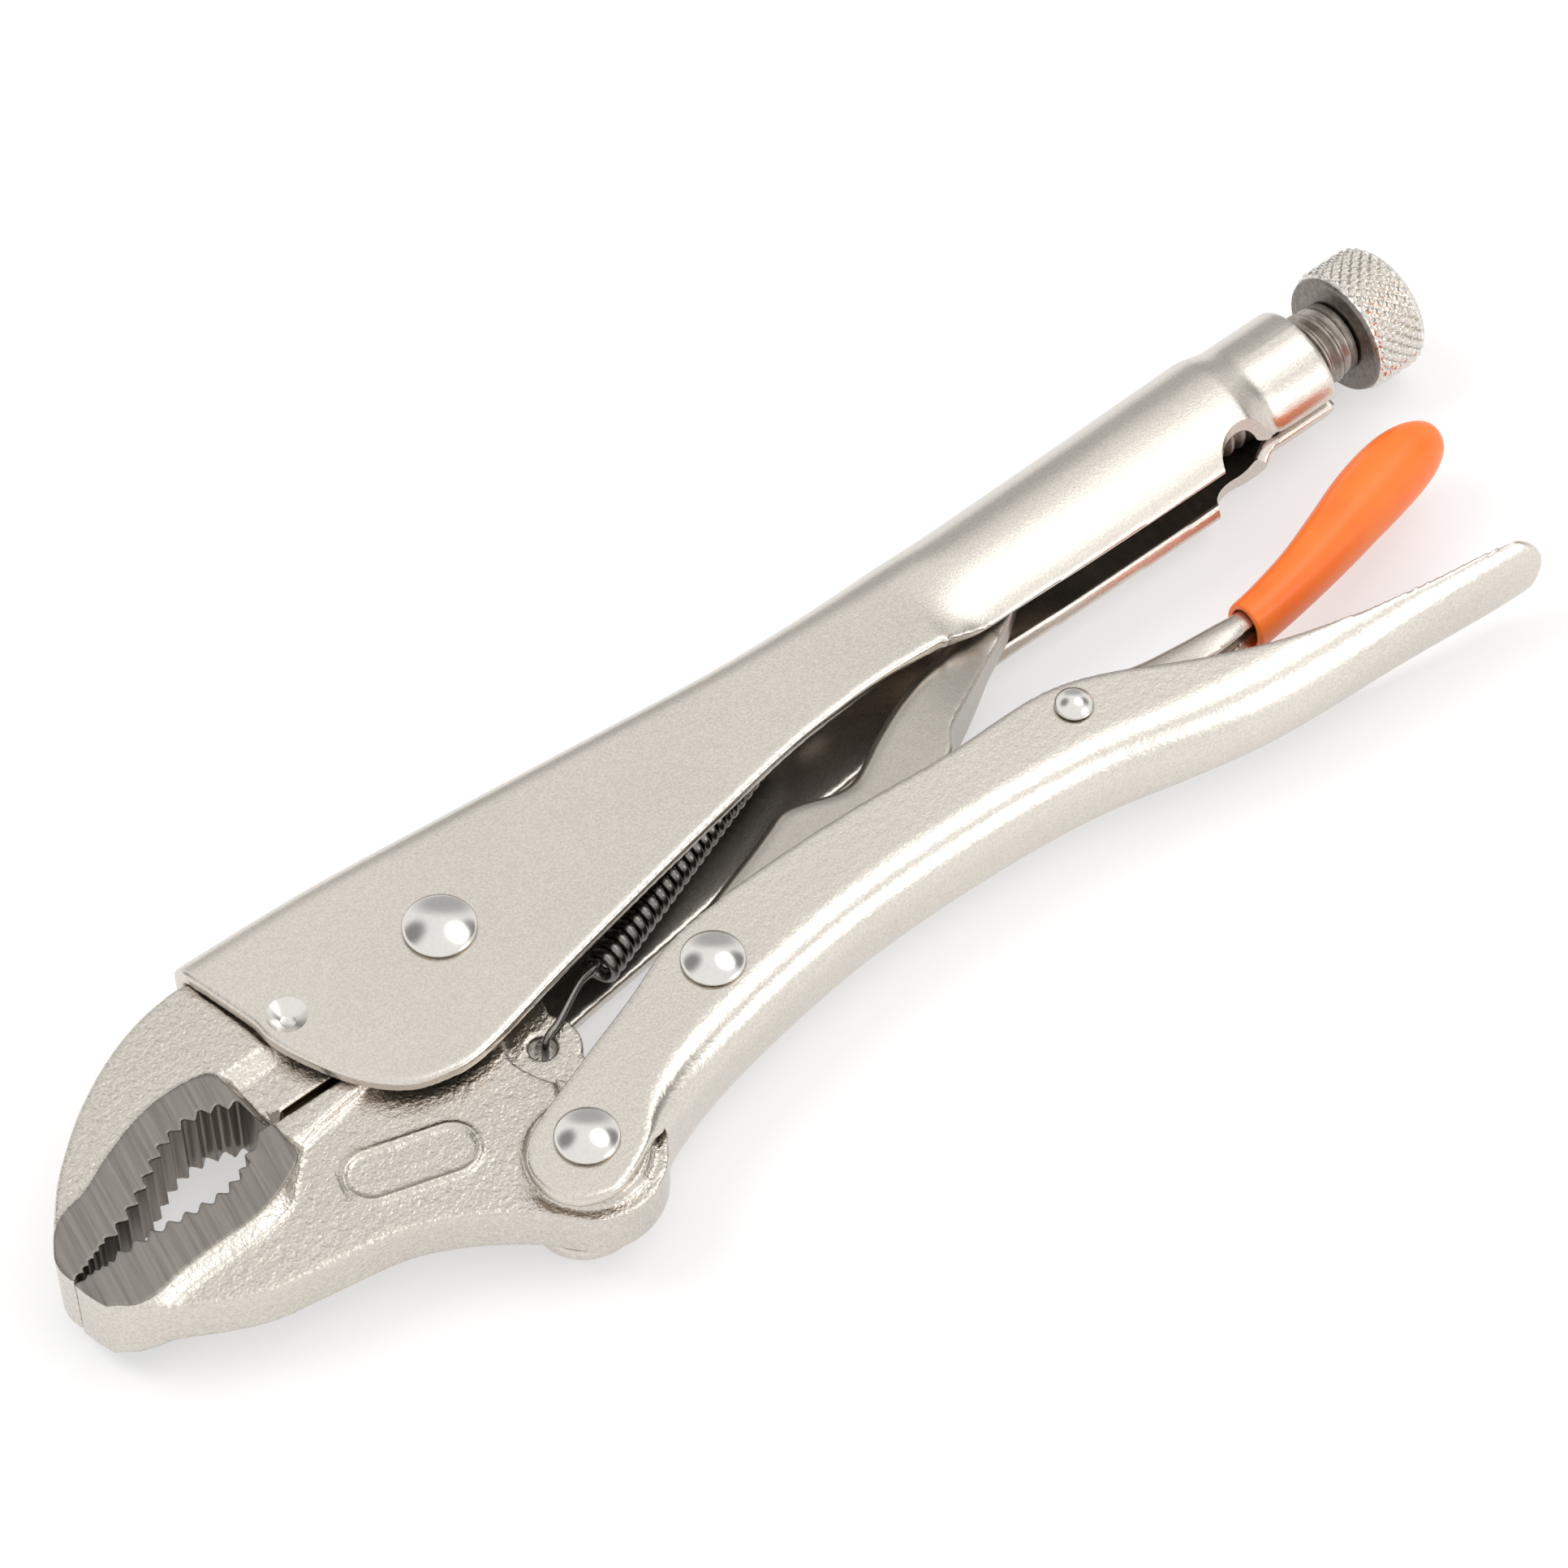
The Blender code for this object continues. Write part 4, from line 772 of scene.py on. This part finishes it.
def make_lever(surface):
    wide, narrow = CORE_HALF, 3.1
    stations = [(20.0, -17.2, wide, 2.0, -20.4, wide), (26.0, -15.2, wide, 2.2, -21.6, wide),
                (33.0, -14.3, wide, 2.4, -22.2, wide),
                (40.0, -14.6, wide - 0.5, 2.6, -22.0, wide - 0.5),
                (46.0, -15.7, wide - 1.2, 2.6, -21.6, wide - 1.2),
                (52.0, -16.4, narrow + 0.1, 2.4, -21.4, narrow),
                (58.0, -17.0, narrow - 0.1, 2.2, -21.2, narrow - 0.6)]
    for x, centre, tall, broad in SLEEVE[:7]:
        tall, broad = tall - 0.95, broad - 0.95
        half = 0.86 * broad
        stations.append((x, centre + 0.88 * tall, half, min(0.84 * tall, half - 0.3),
                         centre - 0.64 * tall, 0.64 * broad))
    lever = flip(channel("lever", (stations,), 1.3))
    bore(lever, RELEASE_PIVOT, RELEASE_BORE)
    remesh(lever, 0.25)
    soften(lever, 4)
    thin_out(lever, 0.6)
    return piece(lever, "release_lever_shell", LEVER, "release_lever", [surface])


def make_sleeve(surface):
    rows = smooth(SLEEVE, 5)
    around = 48

    def ring(x, centre, tall, broad):
        return [(x, centre + tall * math.cos(2 * math.pi * k / around),
                 broad * math.sin(2 * math.pi * k / around)) for k in range(around)]

    rings = [ring(x, y, tall - 0.8, broad - 0.8) for x, y, tall, broad in reversed(rows[:-10])]
    x, y, tall, broad = rows[0]
    rings += [ring(x + 0.05, y, tall - 0.66, broad - 0.66), ring(x, y, tall - 0.5, broad - 0.5),
              ring(x, y, tall - 0.25, broad - 0.25), ring(x + 0.12, y, tall - 0.06, broad - 0.06)]
    rings += [ring(a + 0.3 * (i == 0), b, c, d) for i, (a, b, c, d) in enumerate(rows)]
    sleeve = loft("sleeve", rings, closed_ring=True, cap_start=True, cap_end=True)
    closed(sleeve)
    return piece(sleeve, "release_lever_grip", LEVER, "release_lever_sleeve",
                 [surface])


# ---------------------------------------------------------------- rivets, screw, knob, spring

def make_rivet(node, pivot, shank, head, body, surface):
    """A rivet with a low dome and a narrow rim."""
    seat, rise, rim = CHANNEL_HALF + FIT, 1.7, 0.35
    dome = rise - rim
    sphere = (head ** 2 + dome ** 2) / (2 * dome)
    top = [(0.0, seat + rise)]
    for k in range(1, 15):
        r = (head - 0.12) * k / 14
        top.append((r, seat + rise - sphere + math.sqrt(sphere ** 2 - r ** 2)))
    top += [(head, seat + rim * 0.7), (head, seat + 0.12), (head - 0.12, seat), (shank, seat)]
    profile = top + [(r, -h) for r, h in reversed(top)]
    rivet = turned(node + "_body", profile, 72)
    rivet.data.transform(Matrix.Translation((*pivot, 0.0)))
    return piece(rivet, node + "_bright", body, node, [surface], 50)


def lay_along_x(target):
    """Lay a body that was turned about Z on the screw's line."""
    target.data.transform(Matrix.Translation((0.0, SCREW_Y, 0.0))
                          @ Matrix.Rotation(math.pi / 2, 4, "Y"))
    return target


def make_screw(surface):
    """The rod with its helical thread, a cone at the tip and a plain end inside the knob."""
    pitch, depth, around = 2.0, 1.05, 72
    first, last = SCREW_TIP_X + 4.5, KNOB_FACE_X - 1.4
    heights = list(np.arange(first, last, pitch / 14)) + [last]
    rows = [(2.0, SCREW_TIP_X), (2.6, SCREW_TIP_X + 0.7), (3.2, SCREW_TIP_X + 2.6),
            (4.3, SCREW_TIP_X + 3.2)]
    rings = [circle(r, h, around) for r, h in rows]
    for h in heights:
        fade = min(1.0, (last - h) / 1.4, (h - first) / 1.0 + 0.15)
        ring = []
        for k in range(around):
            turn = k / around
            phase = (h / pitch - turn) % 1.0
            wave = min(1.0, max(0.0, (abs(phase - 0.5) * 2 - 0.12) / 0.72))
            crest = SCREW_RADIUS - 0.02
            r = crest - depth * (1 - wave) * max(0.0, fade) - 0.35 * (1 - max(0.0, fade))
            a = 2 * math.pi * turn
            ring.append((r * math.cos(a), r * math.sin(a), h))
        rings.append(ring)
    stub = [(5.2, last + 0.4), (5.2, KNOB_FACE_X - FIT - 0.1), (4.0, KNOB_FACE_X - FIT),
            (4.0, KNOB_FACE_X + 6.5)]
    rings += [circle(r, h, around) for r, h in stub]
    rod = loft("rod", rings, closed_ring=True, cap_start=True, cap_end=True)
    lay_along_x(closed(rod))
    return piece(rod, "adjusting_screw_thread", SCREW, "adjusting_screw",
                 [surface], 50)


def make_knob(surfaces):
    """Diamond knurl cut into a drum with bevelled rims, on a plain front collar."""
    teeth, per = 31, 10                 # diamonds round the drum, points to a diamond
    around = teeth * per
    length, depth = KNOB_LENGTH, 0.62
    pitch = 2 * math.pi * KNOB_RADIUS / teeth
    hs = np.linspace(0.9, length - 0.75, 56)
    rings = []
    bore_end = 6.8

    def plain(r, h):
        return circle(r, KNOB_FACE_X + h, around)

    rings += [plain(0.05, bore_end), plain(4.3, bore_end), plain(4.3, 0.0), plain(8.15, 0.0),
              plain(8.35, 0.12), plain(8.55, 0.55)]
    for h in hs:
        ring = []
        edge = min(1.0, (h - 0.9) / 0.7, (length - 0.75 - h) / 0.9)
        crown = KNOB_RADIUS - 0.55 * (1 - min(1.0, edge)) ** 2
        for k in range(around):
            u = k / per
            v = h / pitch
            p, q = (u + v) % 1.0, (u - v) % 1.0
            ridge = min(abs(p - 0.5), abs(q - 0.5)) * 2     # 0 in a groove, 1 on a peak
            r = crown - depth * max(0.0, 1 - ridge / 0.72) ** 1.2 * (0.35 + 0.65 * max(0.0, edge))
            a = 2 * math.pi * k / around
            ring.append((r * math.cos(a), r * math.sin(a), KNOB_FACE_X + h))
        rings.append(ring)
    rings += [plain(8.3, length - 0.5), plain(7.9, length - 0.2), plain(7.2, length - 0.04),
              plain(6.6, length), plain(0.05, length)]
    knob = loft("knob", rings, closed_ring=True, cap_start=True, cap_end=True)
    closed(knob)
    lay_along_x(knob)
    centres, _ = face_data(knob)
    away = np.hypot(centres[:, 1] - SCREW_Y, centres[:, 2])
    collar = (centres[:, 0] < KNOB_FACE_X + 0.6)
    knob.data.polygons.foreach_set("material_index", collar.astype(np.int32))
    return piece(knob, "knurled_knob_drum", KNOB, "knurled_knob", surfaces, 38)


def make_spring(surface):
    start, end = Vector((-36.3, -7.4, 0.0)), Vector((3.6, 6.6, 0.0))
    radius, wire, hook_wire, per_turn = 1.66, 0.70, 0.48, 24
    along = (end - start).normalized()
    across = Vector((-along[1], along[0], 0.0))
    up = Vector((0.0, 0.0, 1.0))
    turns = round((end - start).length / 1.72)
    ear_top = EAR_HALF + FIT + hook_wire
    ear, tab = Vector((*EAR_CENTRE, 0.0)) + 0.5 * along, Vector((*HOOK_TAB, 0.0))
    tab_top = 0.8 + FIT + hook_wire
    hook = smooth([ear - up * 3.1, ear + up * 1.0, ear + along * 0.25 + up * 2.3,
                   ear + along * 0.75 + up * (ear_top - 0.15), ear + along * 1.8 + up * ear_top,
                   ear + along * 3.4 + up * ear_top, start - along * 4.4 + up * (ear_top - 0.1),
                   start - along * 1.6 + up * 2.5], 5)
    coils = []
    for k in range(turns * per_turn + 1):
        angle = 2 * math.pi * k / per_turn
        spot = start + (end - start) * (k / (turns * per_turn))
        coils.append(tuple(spot + (up * math.cos(angle) + across * math.sin(angle)) * radius))
    tail = smooth([end + along * 1.5 + up * 1.7, tab - along * 2.0 + up * tab_top,
                   tab - along * 0.5 + up * (tab_top - 0.25), tab + up * 0.5, tab - up * 1.6], 4)
    points = hook[:-1] + coils + tail
    curve = bpy.data.curves.new("wire", "CURVE")
    curve.dimensions = "3D"
    curve.bevel_depth = wire
    curve.bevel_resolution = 3
    curve.use_fill_caps = True
    spline = curve.splines.new("POLY")
    spline.points.add(len(points) - 1)
    for k, (point, spot) in enumerate(zip(spline.points, points)):
        point.co = (*spot, 1.0)
        outside = max(len(hook) - 1 - k, k - (len(points) - len(tail)))
        point.radius = 1.0 - (1.0 - hook_wire / wire) * min(1.0, max(0.0, outside / 5))
    holder = bpy.data.objects.new("wire", curve)
    scratch.objects.link(holder)
    bpy.context.view_layer.update()
    mesh = bpy.data.meshes.new_from_object(
        holder.evaluated_get(bpy.context.evaluated_depsgraph_get()))
    bpy.data.objects.remove(holder)
    spring = bpy.data.objects.new("spring", mesh)
    scratch.objects.link(spring)
    closed(spring)
    return piece(spring, "jaw_spring_coil", LOWER_JAW, "jaw_spring", [surface],
                 60, (FIXED, ear + 0.5 * along, tab - 2.5 * along))


# ---------------------------------------------------------------- stage, light and camera

FLOOR_GLOW = 0.5        # share of plain white in the floor, which leaves the object's shadow
# Grey cards in the studio: direction, full and fading radius in degrees, darkness
CARDS = [((0.80, -0.18, 0.58), 6, 24, 0.72), ((-0.34, 0.62, 0.70), 6, 26, 0.72),
         ((0.61, 0.72, 0.33), 12, 36, 0.50)]


def make_stage():
    half = 3.0
    floor = mesh_object("floor", [(-half, -half, 0), (half, -half, 0), (half, half, 0),
                                  (-half, half, 0)], [(0, 1, 2, 3)])
    scratch.objects.unlink(floor)
    bpy.context.scene.collection.objects.link(floor)
    n = Nodes("pale_floor")
    cloud = n.noise(6.0, 2.0)
    path = n.tree.nodes.new("ShaderNodeLightPath")
    lit = n.finish(n.blend(cloud, (0.93, 0.93, 0.935), (0.95, 0.95, 0.95)),
                   n.remap(cloud, 0.7, 0.8), metallic=0.0)
    glow = n.tree.nodes.new("ShaderNodeEmission")
    mix = n.tree.nodes.new("ShaderNodeMixShader")
    seen = n.add(n.add(path.outputs["Is Camera Ray"], path.outputs["Is Glossy Ray"]),
                 path.outputs["Is Transmission Ray"])
    share = maths(n.tree, seen, FLOOR_GLOW, "MULTIPLY")
    n.link(share, mix.inputs[0])
    n.link(n.shader.outputs[0], mix.inputs[1])
    n.link(glow.outputs[0], mix.inputs[2])
    n.link(mix.outputs[0], n.tree.nodes["Material Output"].inputs["Surface"])
    floor.data.materials.append(lit)


def make_world():
    """A white studio; shiny surfaces also see a few grey cards in it."""
    world = bpy.data.worlds.new("studio")
    bpy.context.scene.world = world
    world.use_nodes = True
    tree = world.node_tree
    nodes, links = tree.nodes, tree.links
    nodes.clear()
    out = nodes.new("ShaderNodeOutputWorld")
    direction = nodes.new("ShaderNodeTexCoord").outputs["Generated"]

    def bright(vector, centre, inner, outer, low, high):
        """A soft-edged patch of sky round a direction."""
        dot = nodes.new("ShaderNodeVectorMath")
        dot.operation = "DOT_PRODUCT"
        links.new(vector, dot.inputs[0])
        dot.inputs[1].default_value = Vector(centre).normalized()
        ramp = nodes.new("ShaderNodeMapRange")
        ramp.interpolation_type = "SMOOTHSTEP"
        ramp.inputs["From Min"].default_value = math.cos(math.radians(outer))
        ramp.inputs["From Max"].default_value = math.cos(math.radians(inner))
        ramp.inputs["To Min"].default_value = low
        ramp.inputs["To Max"].default_value = high
        links.new(dot.outputs["Value"], ramp.inputs["Value"])
        return ramp.outputs["Result"]

    sky = bright(direction, (0, 0, 1), 20, 88, 0.60, 1.0)
    cards = 0.0
    for centre, inner, outer, depth in CARDS:
        cards = maths(tree, cards, bright(direction, centre, inner, outer, 0.0, depth))
    path = nodes.new("ShaderNodeLightPath")
    camera = path.outputs["Is Camera Ray"]
    mirrored = maths(tree, path.outputs["Is Glossy Ray"], path.outputs["Is Transmission Ray"])
    shiny = maths(tree, mirrored, maths(tree, 1.0, cards, "SUBTRACT"), "MULTIPLY")
    matt = maths(tree, 1.0, maths(tree, camera, mirrored), "SUBTRACT")
    seen = maths(tree, maths(tree, camera, shiny), maths(tree, matt, sky, "MULTIPLY"))
    background = nodes.new("ShaderNodeBackground")
    background.inputs["Color"].default_value = (1.0, 0.995, 0.985, 1.0)
    links.new(seen, background.inputs["Strength"])
    links.new(background.outputs[0], out.inputs["Surface"])


def add_light(name, place, target, size, power, colour=(1.0, 0.99, 0.97)):
    data = bpy.data.lights.new(name, "AREA")
    data.shape = "DISK"
    data.size = size
    data.energy = power
    data.color = colour
    light = bpy.data.objects.new(name, data)
    light.location = place
    light.rotation_euler = (Vector(target) - Vector(place)).to_track_quat("-Z", "Y").to_euler()
    bpy.context.scene.collection.objects.link(light)
    return light


def make_camera():
    """The photograph's view, through a long lens."""
    azimuth, elevation, reach = math.radians(-40.0), math.radians(54.0), 0.700
    back = Vector((math.sin(azimuth) * math.cos(elevation),     # from the tool to the camera
                   -math.cos(azimuth) * math.cos(elevation), math.sin(elevation)))
    data = bpy.data.cameras.new("camera")
    data.lens = 126.71
    data.sensor_width = 36.0
    data.clip_start = 0.01
    data.clip_end = 20.0
    camera = bpy.data.objects.new("camera", data)
    camera.location = SHIFT + back * reach
    camera.rotation_euler = (-back).to_track_quat("-Z", "Y").to_euler()
    bpy.context.scene.collection.objects.link(camera)
    bpy.context.scene.camera = camera


def main():
    plate = nickel("satin_nickel_plate", relief=0.022, contrast=0.13)
    peel = nickel("satin_nickel_peel", lump=1.1, lump_relief=0.05, grain=0.34, relief=0.022,
                  rough=(0.22, 0.30), contrast=0.13)
    # The toggle link gets a darker copy of the satin nickel: painted shade for the shadow it lies
    # in between the handles
    link_painted_shade = nickel("satin_nickel_link", colour=(0.52, 0.485, 0.44), rough=(0.28, 0.36))
    forging = nickel("forged_nickel_skin", colour=(0.65, 0.605, 0.55), rough=(0.22, 0.32),
                     grain=0.40, relief=0.06, lump=0.95, lump_relief=0.15, contrast=0.16)
    bright = nickel("polished_nickel_dome", colour=(0.78, 0.76, 0.73), rough=(0.15, 0.20),
                    grain=0.5, relief=0.002, lump=3.0, lump_relief=0.006, contrast=0.03)
    ground = machined("ground_block_face", tilt=-12.0, pitch=0.6)
    gullet = machined("tooth_wall", along=(1.0, 1.0, 0.05), dark=(0.16, 0.14, 0.12),
                      light=(0.34, 0.30, 0.265), pitch=0.7, relief=0.02)
    slot_wall = machined("slot_wall", along=(0.1, 1.0, 1.0), dark=(0.16, 0.11, 0.06),
                         light=(0.36, 0.28, 0.18), pitch=0.8, relief=0.02)
    thread = machined("turned_thread", along=(1.0, 0.25, 0.25), dark=(0.27, 0.24, 0.21),
                      light=(0.50, 0.46, 0.42), pitch=0.5, relief=0.01)
    knurl = nickel("knurled_nickel_bright", colour=(0.74, 0.70, 0.65), rough=(0.16, 0.24),
                   grain=0.4, relief=0.012, contrast=0.12)
    collar = machined("turned_collar", along=(1.0, 0.5, 0.5), dark=(0.16, 0.14, 0.125),
                      light=(0.30, 0.27, 0.245), pitch=0.4, relief=0.01)
    wire = nickel("blued_spring_wire", colour=(0.25, 0.235, 0.22), rough=(0.20, 0.26), grain=0.5,
                  relief=0.001, lump_relief=0.002)
    make_fixed_handle([plate, bright])
    make_lower_handle(peel)
    jaw_finishes = [forging, ground, gullet, slot_wall]
    make_upper_jaw(jaw_finishes)
    make_lower_jaw(jaw_finishes)
    make_link(link_painted_shade)
    make_lever(plate)
    make_sleeve(vinyl("orange_vinyl_dip"))
    make_rivet("jaw_pivot_rivet", JAW_PIVOT, 3.0, 4.7, FIXED, bright)
    make_rivet("lever_rivet", LEVER_PIVOT, 2.6, 4.05, LOWER_HANDLE, bright)
    make_rivet("link_rivet", LINK_PIVOT, 2.6, 4.1, LOWER_HANDLE, bright)
    make_rivet("release_lever_rivet", RELEASE_PIVOT, 1.5, 2.55, LOWER_HANDLE, bright)
    make_screw(thread)
    make_knob([knurl, collar])
    make_spring(wire)
    for node in frame["nodes"].values():
        node.data.materials.clear()
        node.data.materials.append(plate)
    make_stage()
    make_world()
    key = add_light("key", (-0.45, 0.55, 0.95), (0, 0, 0), 0.56, 4.0)
    key.visible_glossy = False
    add_light("fill", (0.38, -0.78, 0.42), (0.03, 0.0, 0.0), 0.5, 1.2)
    add_light("softbox", (0.40, -0.08, 0.83), (0.06, 0.01, 0.0), 0.62, 1.1)
    make_camera()
    for item in list(scratch.objects):
        bpy.data.objects.remove(item)
    bpy.data.collections.remove(scratch)
    bpy.context.scene.view_settings.view_transform = "Standard"


main()
